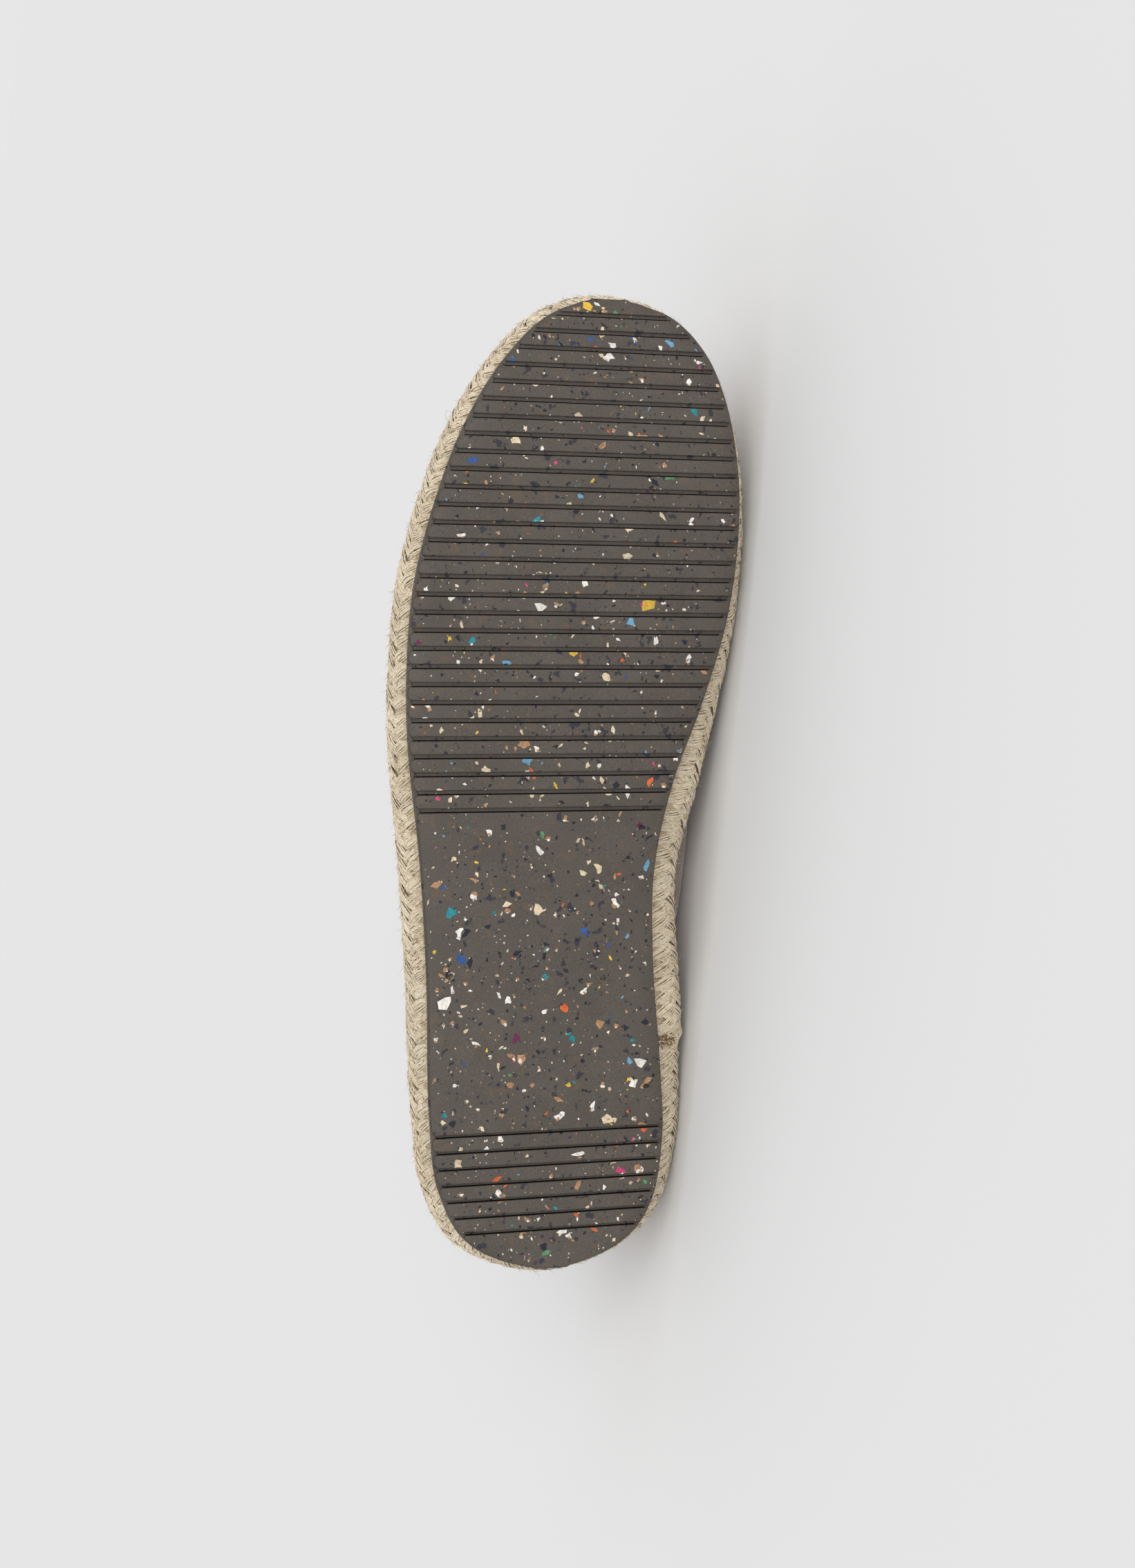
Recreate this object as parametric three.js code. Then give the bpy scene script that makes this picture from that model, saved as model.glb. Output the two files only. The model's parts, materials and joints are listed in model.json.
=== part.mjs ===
// A slip-on espadrille for the right foot, lying on its inner side.
// It is drawn upright first: x to the inner side, y to the toe, z up from the ground, in millimetres.
// Drawn that way it is a left shoe, so each solid is turned into its mirror image, with the inner side at -x.
// The last section rolls the shoe onto its inner side, where its own hull and weight let it lie.
import * as THREE from 'three';
import { ConvexHull } from 'three/addons/math/ConvexHull.js';

// Driving sizes of the sole
const SOLE_LENGTH = 285;
const BALL_WIDTH = 97.5;
const WAIST_WIDTH = 69;
const HEEL_WIDTH = 71;
const TOE_SPRING = 7.5;
const TOE_SPRING_START = 188;

// Rubber outsole
const RUBBER_THICKNESS = 3.7;
const RIM_WIDTH = 1.3;
const RIM_STEP = 1.5;
const GROOVE_DEPTH = 1.25;
const GROOVE_DRAFT = 0.25;
const FORE_GROOVE_WIDTH = 1.3;
const FORE_GROOVE_PITCH = 5.17;
const FORE_GROOVE_START = 135;
const TOE_LAND = 5.2;
const HEEL_GROOVE_WIDTH = 0.9;
const HEEL_GROOVE_PITCH = 4.78;
const HEEL_GROOVE_COUNT = 7;
const HEEL_LAND = 12;
const SMOOTH_STEP = 8;
const HEEL_LAND_STEPS = [2.6, 4.5, 7.5];
const TOE_LAND_STEP = 2.9;
const TIP_CLEARANCE = 0.4;

// Jute midsole, whose side is a braid
const BRAID_HEIGHT = 14.2;
const BRAID_TUCK = 4;
const BRAID_RELIEF = 1.8;
const STRAND_PITCH = 10;
const STRAND_LEAN = THREE.MathUtils.degToRad(42);
const ARCH_FLARE = 9.3;

// Upper
const UPPER_WALL = 1.8;
const FEATHER_TUCK = 4.6;
const HEEL_HEIGHT = 60;
const SIDE_HEIGHT = 44;
const INSTEP_HEIGHT = 61;
const RIBS_PER_ROW = 5;
const UPPER_RINGS = 12;
const RING_EASE = 0.35;

// Insole
const INSOLE_THICKNESS = 3;
const INSOLE_STATIONS = 120;

// Clearance between pieces that touch
const GAP = 0.3;

// Densities that settle where the centre of weight lies, in grams per cubic millimetre
const RUBBER_DENSITY = 0.0011;
const JUTE_DENSITY = 0.0004;
const SUEDE_DENSITY = 0.0008;
const INSOLE_DENSITY = 0.0004;

// Outline of the rubber, once around: heel back, outer side, toe, inner side.
// along is a share of the length, across a share of the named width, flare a share of the arch flare.
const OUTLINE = [
  { place: 'heel back', along: 0, across: 0, width: HEEL_WIDTH, flare: 0.25 },
  { place: 'heel outer corner', along: 0.03, across: -0.33, width: HEEL_WIDTH, flare: 0.27 },
  { place: 'heel outer side', along: 0.085, across: -0.458, width: HEEL_WIDTH, flare: 0.28 },
  { place: 'heel seat outer', along: 0.16, across: -0.497, width: HEEL_WIDTH, flare: 0.3 },
  { place: 'waist outer back', along: 0.3, across: -0.522, width: WAIST_WIDTH, flare: 0.4 },
  { place: 'waist outer', along: 0.42, across: -0.549, width: WAIST_WIDTH, flare: 0.42 },
  { place: 'joint outer back', along: 0.54, across: -0.424, width: BALL_WIDTH, flare: 0.36 },
  { place: 'joint outer', along: 0.62, across: -0.426, width: BALL_WIDTH, flare: 0.31 },
  { place: 'ball outer', along: 0.7, across: -0.405, width: BALL_WIDTH, flare: 0.3 },
  { place: 'small toe', along: 0.78, across: -0.344, width: BALL_WIDTH, flare: 0.3 },
  { place: 'toe outer', along: 0.86, across: -0.252, width: BALL_WIDTH, flare: 0.28 },
  { place: 'toe outer corner', along: 0.93, across: -0.126, width: BALL_WIDTH, flare: 0.26 },
  { place: 'toe outer tip', along: 0.981, across: 0.027, width: BALL_WIDTH, flare: 0.25 },
  { place: 'toe tip', along: 1, across: 0.194, width: BALL_WIDTH, flare: 0.25 },
  { place: 'toe inner tip', along: 0.986, across: 0.402, width: BALL_WIDTH, flare: 0.25 },
  { place: 'toe inner corner', along: 0.95, across: 0.514, width: BALL_WIDTH, flare: 0.26 },
  { place: 'toe inner', along: 0.9, across: 0.577, width: BALL_WIDTH, flare: 0.3 },
  { place: 'big toe joint', along: 0.83, across: 0.611, width: BALL_WIDTH, flare: 0.38 },
  { place: 'ball inner', along: 0.76, across: 0.61, width: BALL_WIDTH, flare: 0.44 },
  { place: 'ball inner back', along: 0.67, across: 0.571, width: BALL_WIDTH, flare: 0.57 },
  { place: 'arch front', along: 0.58, across: 0.489, width: BALL_WIDTH, flare: 0.83 },
  { place: 'arch', along: 0.5, across: 0.563, width: WAIST_WIDTH, flare: 1.14 },
  { place: 'waist inner', along: 0.41, across: 0.478, width: WAIST_WIDTH, flare: 1.04 },
  { place: 'waist inner back', along: 0.31, across: 0.474, width: WAIST_WIDTH, flare: 1.1 },
  { place: 'heel seat inner', along: 0.21, across: 0.49, width: HEEL_WIDTH, flare: 0.93 },
  { place: 'heel inner', along: 0.13, across: 0.501, width: HEEL_WIDTH, flare: 0.78 },
  { place: 'heel inner side', along: 0.06, across: 0.447, width: HEEL_WIDTH, flare: 0.58 },
  { place: 'heel inner corner', along: 0.022, across: 0.32, width: HEEL_WIDTH, flare: 0.34 },
];
const TOE_ROW = OUTLINE.findIndex((row) => row.place === 'toe tip');

// Side of the braid from its foot to its top edge.
// height is a share of the braid's height, flare of the local flare, tuck of BRAID_TUCK, relief of BRAID_RELIEF.
const BRAID_PROFILE = [
  { height: 0, flare: 0, tuck: 0.3, relief: 0 },
  { height: 0.13, flare: 0.38, tuck: 0, relief: 0.6 },
  { height: 0.32, flare: 0.8, tuck: 0, relief: 1 },
  { height: 0.5, flare: 1, tuck: 0, relief: 0.7 },
  { height: 0.7, flare: 1, tuck: 0.08, relief: 1 },
  { height: 0.89, flare: 1, tuck: 0.35, relief: 0.6 },
  { height: 1, flare: 1, tuck: 0.85, relief: 0 },
];

// One strand of the braid, from its valley over its crest; at is a share of the strand's pitch.
const STRAND_PROFILE = [
  { at: 0, height: 0 },
  { at: 0.22, height: 0.9 },
  { at: 0.6, height: 1 },
];

// Ribs of the upper, from the sole's edge to the collar, once around from the heel back by the outer side.
// turn runs from 0 at the heel back over 0.5 at the toe tip to 1; along, across and height place the collar
// as shares of sole length, ball width and the named height. The rib leaves the sole outwards by bulge
// and up by rise, and comes to the collar from reach outside it and drop under it, as shares of ball
// width and of the named height.
const UPPER_ROWS = [
  { turn: 0, along: 0.022, across: 0, height: 1, of: HEEL_HEIGHT, bulge: 0.055, rise: 0.36, reach: 0.03, drop: 0.34 },
  { turn: 0.055, along: 0.055, across: -0.19, height: 0.96, of: HEEL_HEIGHT, bulge: 0.04, rise: 0.36, reach: 0.03, drop: 0.34 },
  { turn: 0.13, along: 0.19, across: -0.278, height: 0.83, of: HEEL_HEIGHT, bulge: 0.02, rise: 0.38, reach: 0.03, drop: 0.34 },
  { turn: 0.205, along: 0.345, across: -0.275, height: 1, of: SIDE_HEIGHT, bulge: 0.02, rise: 0.4, reach: 0.055, drop: 0.34 },
  { turn: 0.275, along: 0.47, across: -0.245, height: 1.1, of: SIDE_HEIGHT, bulge: 0.03, rise: 0.42, reach: 0.11, drop: 0.28 },
  { turn: 0.34, along: 0.552, across: -0.15, height: 0.93, of: INSTEP_HEIGHT, bulge: 0.04, rise: 0.34, reach: 0.25, drop: 0.17 },
  { turn: 0.395, along: 0.583, across: -0.065, height: 0.985, of: INSTEP_HEIGHT, bulge: 0.035, rise: 0.34, reach: 0.4, drop: 0.22 },
  { turn: 0.45, along: 0.593, across: 0.008, height: 1, of: INSTEP_HEIGHT, bulge: 0.035, rise: 0.34, reach: 0.6, drop: 0.33 },
  { turn: 0.5, along: 0.595, across: 0.085, height: 1, of: INSTEP_HEIGHT, bulge: 0.035, rise: 0.34, reach: 0.72, drop: 0.36 },
  { turn: 0.55, along: 0.593, across: 0.162, height: 1, of: INSTEP_HEIGHT, bulge: 0.035, rise: 0.34, reach: 0.6, drop: 0.33 },
  { turn: 0.605, along: 0.583, across: 0.235, height: 0.985, of: INSTEP_HEIGHT, bulge: 0.035, rise: 0.34, reach: 0.4, drop: 0.22 },
  { turn: 0.66, along: 0.552, across: 0.31, height: 0.93, of: INSTEP_HEIGHT, bulge: 0.04, rise: 0.34, reach: 0.26, drop: 0.17 },
  { turn: 0.725, along: 0.47, across: 0.37, height: 1.1, of: SIDE_HEIGHT, bulge: 0.15, rise: 0.38, reach: 0.16, drop: 0.28 },
  { turn: 0.8, along: 0.345, across: 0.36, height: 1, of: SIDE_HEIGHT, bulge: 0.235, rise: 0.18, reach: 0.16, drop: 0.4 },
  { turn: 0.875, along: 0.19, across: 0.31, height: 0.83, of: HEEL_HEIGHT, bulge: 0.07, rise: 0.36, reach: 0.06, drop: 0.34 },
  { turn: 0.945, along: 0.055, across: 0.2, height: 0.96, of: HEEL_HEIGHT, bulge: 0.055, rise: 0.36, reach: 0.04, drop: 0.34 },
];

const { clamp, lerp } = THREE.MathUtils;
const UP = new THREE.Vector3(0, 0, 1);

// Heights that the pieces share
const JUTE_BOTTOM = RUBBER_THICKNESS + GAP;
const JUTE_TOP = JUTE_BOTTOM + BRAID_HEIGHT;
const UPPER_BOTTOM = JUTE_TOP + GAP;

// Toe spring: how far the whole shoe lifts off the ground at a place along it
function lift(y) {
  const share = clamp((y - TOE_SPRING_START) / (SOLE_LENGTH - TOE_SPRING_START), 0, 1.1);
  return TOE_SPRING * share * share;
}

// The outline as one smooth closed curve, with the flare riding along as its third coordinate
const outlineCurve = new THREE.CatmullRomCurve3(
  OUTLINE.map((row) => new THREE.Vector3(
    row.across * row.width,
    row.along * SOLE_LENGTH,
    row.flare * ARCH_FLARE,
  )),
  true,
  'centripetal',
);

const STEPS_BETWEEN_ROWS = 40;
const SIDE_SAMPLES = 700;
const NORMAL_SPREAD = 6;

// Samples of one side of the outline between two rows, evenly spaced along its length
function sideOfOutline(fromRow, toRow, count) {
  const fine = [];
  const steps = (toRow - fromRow) * STEPS_BETWEEN_ROWS;
  for (let i = 0; i <= steps; i += 1) {
    const t = lerp(fromRow, toRow, i / steps) / OUTLINE.length;
    fine.push(outlineCurve.getPoint(t % 1));
  }
  const runs = [0];
  for (let i = 1; i < fine.length; i += 1) {
    const step = Math.hypot(fine[i].x - fine[i - 1].x, fine[i].y - fine[i - 1].y);
    runs.push(runs[i - 1] + step);
  }
  const total = runs[runs.length - 1];
  const even = [];
  let j = 0;
  for (let i = 0; i <= count; i += 1) {
    const run = (total * i) / count;
    while (j < runs.length - 2 && runs[j + 1] < run) j += 1;
    even.push(fine[j].clone().lerp(fine[j + 1], (run - runs[j]) / (runs[j + 1] - runs[j])));
  }
  return { points: even, total };
}

const outerSide = sideOfOutline(0, TOE_ROW, SIDE_SAMPLES);
const innerSide = sideOfOutline(TOE_ROW, OUTLINE.length, SIDE_SAMPLES);
const ring = [...outerSide.points.slice(0, -1), ...innerSide.points.slice(0, -1)];
const PERIMETER = outerSide.total + innerSide.total;

// Place on the outline at a turn from 0 to 1, with its outward direction and flare
function edgeAt(turn) {
  const wrapped = ((turn % 1) + 1) % 1;
  const position = wrapped * ring.length;
  const low = Math.floor(position) % ring.length;
  const high = (low + 1) % ring.length;
  const point = ring[low].clone().lerp(ring[high], position - Math.floor(position));
  const before = ring[(low - NORMAL_SPREAD + ring.length) % ring.length];
  const after = ring[(low + 1 + NORMAL_SPREAD) % ring.length];
  const along = new THREE.Vector3(after.x - before.x, after.y - before.y, 0).normalize();
  return { point, flare: point.z, out: new THREE.Vector3(-along.y, along.x, 0) };
}

// Turn at a length along the outline, measured from the heel back by the outer side
function turnAtRun(run) {
  const wrapped = ((run % PERIMETER) + PERIMETER) % PERIMETER;
  if (wrapped <= outerSide.total) return (0.5 * wrapped) / outerSide.total;
  return 0.5 + (0.5 * (wrapped - outerSide.total)) / innerSide.total;
}

// Point off the outline by a distance, at a height that follows the toe spring
function offEdge(turn, distance, height) {
  const edge = edgeAt(turn);
  const y = edge.point.y + edge.out.y * distance;
  return new THREE.Vector3(edge.point.x + edge.out.x * distance, y, height + lift(y));
}

// A mesh gathers triangles as rows of corner indices
class Solid {
  constructor() {
    this.points = [];
    this.faces = [];
  }

  add(point) {
    this.points.push(point);
    return this.points.length - 1;
  }

  addRow(points) {
    return points.map((point) => this.add(point));
  }

  // Band between two rows of equal length, closed around when loop is true
  band(low, high, loop = true) {
    const count = loop ? low.length : low.length - 1;
    for (let i = 0; i < count; i += 1) {
      const next = (i + 1) % low.length;
      this.faces.push([low[i], low[next], high[next]], [low[i], high[next], high[i]]);
    }
  }

  // Lid over a closed row: the two sides are stitched across, from the heel to the toe
  lid(row, faceUp) {
    const heights = row.map((index) => this.points[index].y);
    const heel = heights.indexOf(Math.min(...heights));
    const toe = heights.indexOf(Math.max(...heights));
    const sideFrom = (step) => {
      const side = [row[heel]];
      for (let i = heel; i !== toe; i = (i + step + row.length) % row.length) {
        side.push(row[(i + step + row.length) % row.length]);
      }
      return side;
    };
    const outer = sideFrom(1);
    const inner = sideFrom(-1);
    let i = 0;
    let j = 0;
    while (i < outer.length - 1 || j < inner.length - 1) {
      const outerNext = i < outer.length - 1 ? this.points[outer[i + 1]].y : Infinity;
      const innerNext = j < inner.length - 1 ? this.points[inner[j + 1]].y : Infinity;
      const takeOuter = outerNext <= innerNext;
      const next = takeOuter ? outer[i + 1] : inner[j + 1];
      const corners = [outer[i], inner[j], next];
      if (new Set(corners).size === 3) this.faces.push(faceUp ? corners : [corners[0], corners[2], corners[1]]);
      if (takeOuter) i += 1;
      else j += 1;
    }
  }

  geometry() {
    const positions = this.faces.flatMap((face) => face.flatMap((index) => this.points[index].toArray()));
    const geometry = new THREE.BufferGeometry();
    geometry.setAttribute('position', new THREE.Float32BufferAttribute(positions, 3));
    geometry.computeVertexNormals();
    return geometry;
  }
}

// Across positions of the outline's two sides at a place along it, drawn in by an inset
function sidesOfInset(inset) {
  const place = (turn) => offEdge(turn, -inset, 0);
  const outer = [];
  const inner = [];
  for (let i = 0; i <= SIDE_SAMPLES; i += 1) {
    outer.push(place((0.5 * i) / SIDE_SAMPLES));
    inner.push(place(1 - (0.5 * i) / SIDE_SAMPLES));
  }
  const across = (side, y) => {
    let k = 0;
    while (k < side.length - 2 && side[k + 1].y < y) k += 1;
    const share = clamp((y - side[k].y) / (side[k + 1].y - side[k].y), 0, 1);
    return lerp(side[k].x, side[k + 1].x, share);
  };
  const lowest = Math.max(outer[0].y, inner[0].y);
  const highest = Math.min(outer[SIDE_SAMPLES].y, inner[SIDE_SAMPLES].y);
  return (y) => {
    const inside = clamp(y, lowest + TIP_CLEARANCE, highest - TIP_CLEARANCE);
    return { outer: across(outer, inside), inner: across(inner, inside) };
  };
}

// Stations along the outsole: where each is, and whether the tread is down on the ground there
function treadStations() {
  const stations = [
    { y: 0, down: false },
    { y: RIM_WIDTH, down: false },
    { y: RIM_WIDTH + GROOVE_DRAFT, down: true },
  ];
  const addLand = (to) => {
    const from = stations[stations.length - 1].y;
    const steps = Math.max(1, Math.round((to - from) / SMOOTH_STEP));
    for (let i = 1; i < steps; i += 1) stations.push({ y: lerp(from, to, i / steps), down: true });
  };
  const addGroove = (centre, width) => {
    const half = width / 2;
    addLand(centre - half - GROOVE_DRAFT);
    stations.push({ y: centre - half - GROOVE_DRAFT, down: true });
    stations.push({ y: centre - half, down: false });
    stations.push({ y: centre + half, down: false });
    stations.push({ y: centre + half + GROOVE_DRAFT, down: true });
  };
  HEEL_LAND_STEPS.forEach((y) => stations.push({ y, down: true }));
  for (let i = 0; i < HEEL_GROOVE_COUNT; i += 1) {
    addGroove(HEEL_LAND + i * HEEL_GROOVE_PITCH, HEEL_GROOVE_WIDTH);
  }
  const foreCount = Math.floor((SOLE_LENGTH - TOE_LAND - FORE_GROOVE_START) / FORE_GROOVE_PITCH) + 1;
  for (let i = 0; i < foreCount; i += 1) {
    addGroove(FORE_GROOVE_START + i * FORE_GROOVE_PITCH, FORE_GROOVE_WIDTH);
  }
  [TOE_LAND_STEP, RIM_WIDTH + GROOVE_DRAFT].forEach((back) => stations.push({ y: SOLE_LENGTH - back, down: true }));
  stations.push({ y: SOLE_LENGTH - RIM_WIDTH, down: false });
  stations.push({ y: SOLE_LENGTH, down: false });
  return stations;
}

// Rubber outsole: cross sections from heel to toe, each with its rim ledge and its tread or groove floor
function outsole() {
  const solid = new Solid();
  const rubber = sidesOfInset(0);
  const tread = sidesOfInset(RIM_WIDTH);
  const sections = treadStations().map(({ y, down }) => {
    const edge = rubber(y);
    const inset = tread(y);
    const floor = down ? 0 : GROOVE_DEPTH;
    const width = edge.inner - edge.outer;
    const rim = Math.min(RIM_WIDTH, width / 4);
    const treadOuter = Math.max(inset.outer, edge.outer + rim);
    const treadInner = Math.min(inset.inner, edge.inner - rim);
    const base = lift(y);
    const at = (x, z) => new THREE.Vector3(x, y, z + base);
    return solid.addRow([
      at(edge.outer, RUBBER_THICKNESS),
      at(edge.outer, RIM_STEP),
      at(treadOuter, RIM_STEP),
      at(treadOuter, floor),
      at(treadInner, floor),
      at(treadInner, RIM_STEP),
      at(edge.inner, RIM_STEP),
      at(edge.inner, RUBBER_THICKNESS),
    ]);
  });
  for (let i = 1; i < sections.length; i += 1) solid.band(sections[i], sections[i - 1]);
  const close = (row, facesHeel) => {
    const quads = [[0, 1, 6, 7], [1, 2, 5, 6], [2, 3, 4, 5]];
    quads.forEach(([a, b, c, d]) => {
      const triangles = [[row[a], row[b], row[c]], [row[a], row[c], row[d]]];
      triangles.forEach((face) => solid.faces.push(facesHeel ? face : face.reverse()));
    });
  };
  close(sections[0], true);
  close(sections[sections.length - 1], false);
  return solid;
}

// Jute midsole: braid profile run around the outline, with its strands leaning away from mid-height
function midsole() {
  const solid = new Solid();
  const strands = Math.round(PERIMETER / STRAND_PITCH);
  const pitch = PERIMETER / strands;
  const rows = BRAID_PROFILE.map((level) => {
    const shear = Math.abs(level.height - 0.5) * BRAID_HEIGHT * Math.tan(STRAND_LEAN);
    const row = [];
    for (let strand = 0; strand < strands; strand += 1) {
      STRAND_PROFILE.forEach((step) => {
        const turn = turnAtRun((strand + step.at) * pitch + shear);
        const flare = edgeAt(turn).flare;
        const raised = level.relief * BRAID_RELIEF * (step.height - 0.5);
        const distance = level.flare * flare - level.tuck * BRAID_TUCK + raised;
        row.push(offEdge(turn, distance, JUTE_BOTTOM + level.height * BRAID_HEIGHT));
      });
    }
    return solid.addRow(row);
  });
  for (let i = 1; i < rows.length; i += 1) solid.band(rows[i], rows[i - 1]);
  solid.lid(rows[0], false);
  solid.lid(rows[rows.length - 1], true);
  return solid;
}

// One row of the upper's table at a share of the way around, smoothed between its rows
function upperRow(position) {
  const count = UPPER_ROWS.length;
  const base = Math.floor(position);
  const share = position - base;
  const pick = (step, key) => {
    const row = UPPER_ROWS[(base + step + count) % count];
    if (key === 'turn') return row.turn + Math.floor((base + step) / count);
    if (key === 'height' || key === 'rise' || key === 'drop') return row[key] * row.of;
    return row[key];
  };
  const smooth = (key) => {
    const [a, b, c, d] = [-1, 0, 1, 2].map((step) => pick(step, key));
    const pull = 0.5 * (c - a);
    const push = 0.5 * (d - b);
    const bend = 2 * (b - c) + pull + push;
    return b + share * (pull + share * (3 * (c - b) - 2 * pull - push + share * bend));
  };
  return Object.fromEntries(
    ['turn', 'along', 'across', 'height', 'bulge', 'rise', 'reach', 'drop'].map((key) => [key, smooth(key)]),
  );
}

// Line on the midsole's top that the upper stands on, drawn in by a distance
function featherPoint(turn, inset) {
  const edge = edgeAt(turn);
  return offEdge(turn, edge.flare - FEATHER_TUCK - inset, UPPER_BOTTOM);
}

// One rib of the upper from the sole to the collar
function upperRib(position) {
  const row = upperRow(position);
  const edge = edgeAt(row.turn);
  const foot = featherPoint(row.turn, 0);
  const collarY = row.along * SOLE_LENGTH;
  const collar = new THREE.Vector3(row.across * BALL_WIDTH, collarY, JUTE_TOP + row.height);
  const leave = foot.clone().addScaledVector(edge.out, row.bulge * BALL_WIDTH).addScaledVector(UP, row.rise);
  const arrive = collar.clone().addScaledVector(edge.out, row.reach * BALL_WIDTH).addScaledVector(UP, -row.drop);
  return new THREE.CubicBezierCurve3(foot, leave, arrive, collar);
}

// Suede upper: outer and inner face a wall apart, open at the collar and underneath
function upper() {
  const solid = new Solid();
  const ribs = UPPER_ROWS.length * RIBS_PER_ROW;
  const curves = [];
  for (let i = 0; i < ribs; i += 1) curves.push(upperRib(i / RIBS_PER_ROW));
  const rings = [];
  for (let k = 0; k < UPPER_RINGS; k += 1) {
    const share = k / (UPPER_RINGS - 1);
    const eased = lerp(share, THREE.MathUtils.smoothstep(share, 0, 1), RING_EASE);
    rings.push(curves.map((curve) => curve.getPoint(eased)));
  }
  const normalAt = (k, i) => {
    const above = rings[Math.min(k + 1, UPPER_RINGS - 1)][i];
    const below = rings[Math.max(k - 1, 0)][i];
    const ahead = rings[k][(i + 1) % ribs];
    const behind = rings[k][(i - 1 + ribs) % ribs];
    const around = ahead.clone().sub(behind);
    const upward = above.clone().sub(below);
    return upward.cross(around).normalize();
  };
  const lining = rings.map((row, k) => row.map((point, i) => {
    const normal = normalAt(k, i);
    if (k > 0) return point.clone().addScaledVector(normal, -UPPER_WALL);
    const level = new THREE.Vector3(normal.x, normal.y, 0).normalize();
    const inside = point.clone().addScaledVector(level, -UPPER_WALL);
    inside.z = UPPER_BOTTOM + lift(inside.y);
    return inside;
  }));
  const outer = rings.map((row) => solid.addRow(row));
  const inner = lining.map((row) => solid.addRow(row));
  for (let k = 1; k < UPPER_RINGS; k += 1) {
    solid.band(outer[k], outer[k - 1]);
    solid.band(inner[k - 1], inner[k]);
  }
  solid.band(outer[0], inner[0]);
  solid.band(inner[UPPER_RINGS - 1], outer[UPPER_RINGS - 1]);
  return solid;
}

// Insole: a plate inside the upper, on the midsole's top
function insole() {
  const solid = new Solid();
  const inset = UPPER_WALL + 2 * GAP;
  const bottom = [];
  const top = [];
  for (let i = 0; i < INSOLE_STATIONS; i += 1) {
    const point = featherPoint(i / INSOLE_STATIONS, inset);
    bottom.push(point);
    top.push(point.clone().addScaledVector(UP, INSOLE_THICKNESS));
  }
  const low = solid.addRow(bottom);
  const high = solid.addRow(top);
  solid.band(high, low);
  solid.lid(low, false);
  solid.lid(high, true);
  return solid;
}

// The right shoe's solid is the mirror image of the drawn one, with its faces turned to stay outward
function mirrored(solid) {
  solid.points.forEach((point) => point.setX(-point.x));
  solid.faces.forEach((face) => face.reverse());
  return solid;
}

// Colours and finishes from the photograph
const finish = (color, roughness) => new THREE.MeshStandardMaterial({ color, roughness, metalness: 0 });
const PIECES = [
  { name: 'outsole', solid: mirrored(outsole()), density: RUBBER_DENSITY, material: finish(0x5a524a, 0.8) },
  { name: 'midsole', solid: mirrored(midsole()), density: JUTE_DENSITY, material: finish(0xcdbfa0, 0.95) },
  { name: 'upper', solid: mirrored(upper()), density: SUEDE_DENSITY, material: finish(0x86766a, 0.9) },
  { name: 'insole', solid: mirrored(insole()), density: INSOLE_DENSITY, material: finish(0xb9a98c, 0.9) },
];

// Centre of weight of the whole shoe, from the signed volumes under its triangles
function centreOfWeight(pieces) {
  const sum = new THREE.Vector3();
  let weight = 0;
  pieces.forEach(({ solid, density }) => {
    solid.faces.forEach(([a, b, c]) => {
      const [p, q, r] = [solid.points[a], solid.points[b], solid.points[c]];
      const share = (density * p.dot(q.clone().cross(r))) / 6;
      sum.addScaledVector(p.clone().add(q).add(r), share / 4);
      weight += share;
    });
  });
  return sum.divideScalar(weight);
}

const MOST_ROLLS = 40;

// Which way is down once the shoe has rolled onto its inner side: the hull face under its centre of weight
function restingDown(pieces) {
  const hull = new ConvexHull().setFromPoints(pieces.flatMap((piece) => piece.solid.points));
  const centre = centreOfWeight(pieces);
  let down = new THREE.Vector3(-1, 0, 0);
  for (let roll = 0; roll < MOST_ROLLS; roll += 1) {
    let nearest = Infinity;
    let under = null;
    hull.faces.forEach((face) => {
      const facing = face.normal.dot(down);
      if (facing <= 0) return;
      const distance = -face.distanceToPoint(centre) / facing;
      if (distance < nearest) {
        nearest = distance;
        under = face.normal.clone();
      }
    });
    if (under.distanceTo(down) < 1e-9) break;
    down = under;
  }
  return down;
}

// Lie the shoe down: toe to +X, sole to -Y, the floor under it, and the origin under the middle of its box
function layDown(pieces) {
  const down = restingDown(pieces);
  const toe = new THREE.Vector3(0, 1, 0).projectOnPlane(down).normalize();
  const above = down.clone().negate();
  const back = new THREE.Vector3().crossVectors(above, toe);
  const turn = new THREE.Matrix4().makeBasis(toe, back, above).transpose();
  const box = new THREE.Box3();
  pieces.forEach(({ solid }) => {
    solid.points.forEach((point) => box.expandByPoint(point.clone().applyMatrix4(turn)));
  });
  const middle = box.getCenter(new THREE.Vector3());
  const shift = new THREE.Matrix4().makeTranslation(-middle.x, -middle.y, -box.min.z);
  return shift.multiply(turn);
}

const shoe = new THREE.Group();
shoe.name = 'espadrille';
layDown(PIECES).decompose(shoe.position, shoe.quaternion, shoe.scale);
PIECES.forEach(({ name, solid, material }) => {
  const mesh = new THREE.Mesh(solid.geometry(), material);
  mesh.name = name;
  shoe.add(mesh);
});

export default shoe;
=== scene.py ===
# Looks of an espadrille for the right foot, lying on its inner side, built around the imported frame.
# Shapes are drawn upright in millimetres, x to the inner side, y to the toe and z up from the ground.
# Drawn that way it is a left shoe, so the step to where the frame's sole lies also mirrors it.
import json
import math
import random

import bpy
import numpy as np
from mathutils import Matrix, Vector


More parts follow.
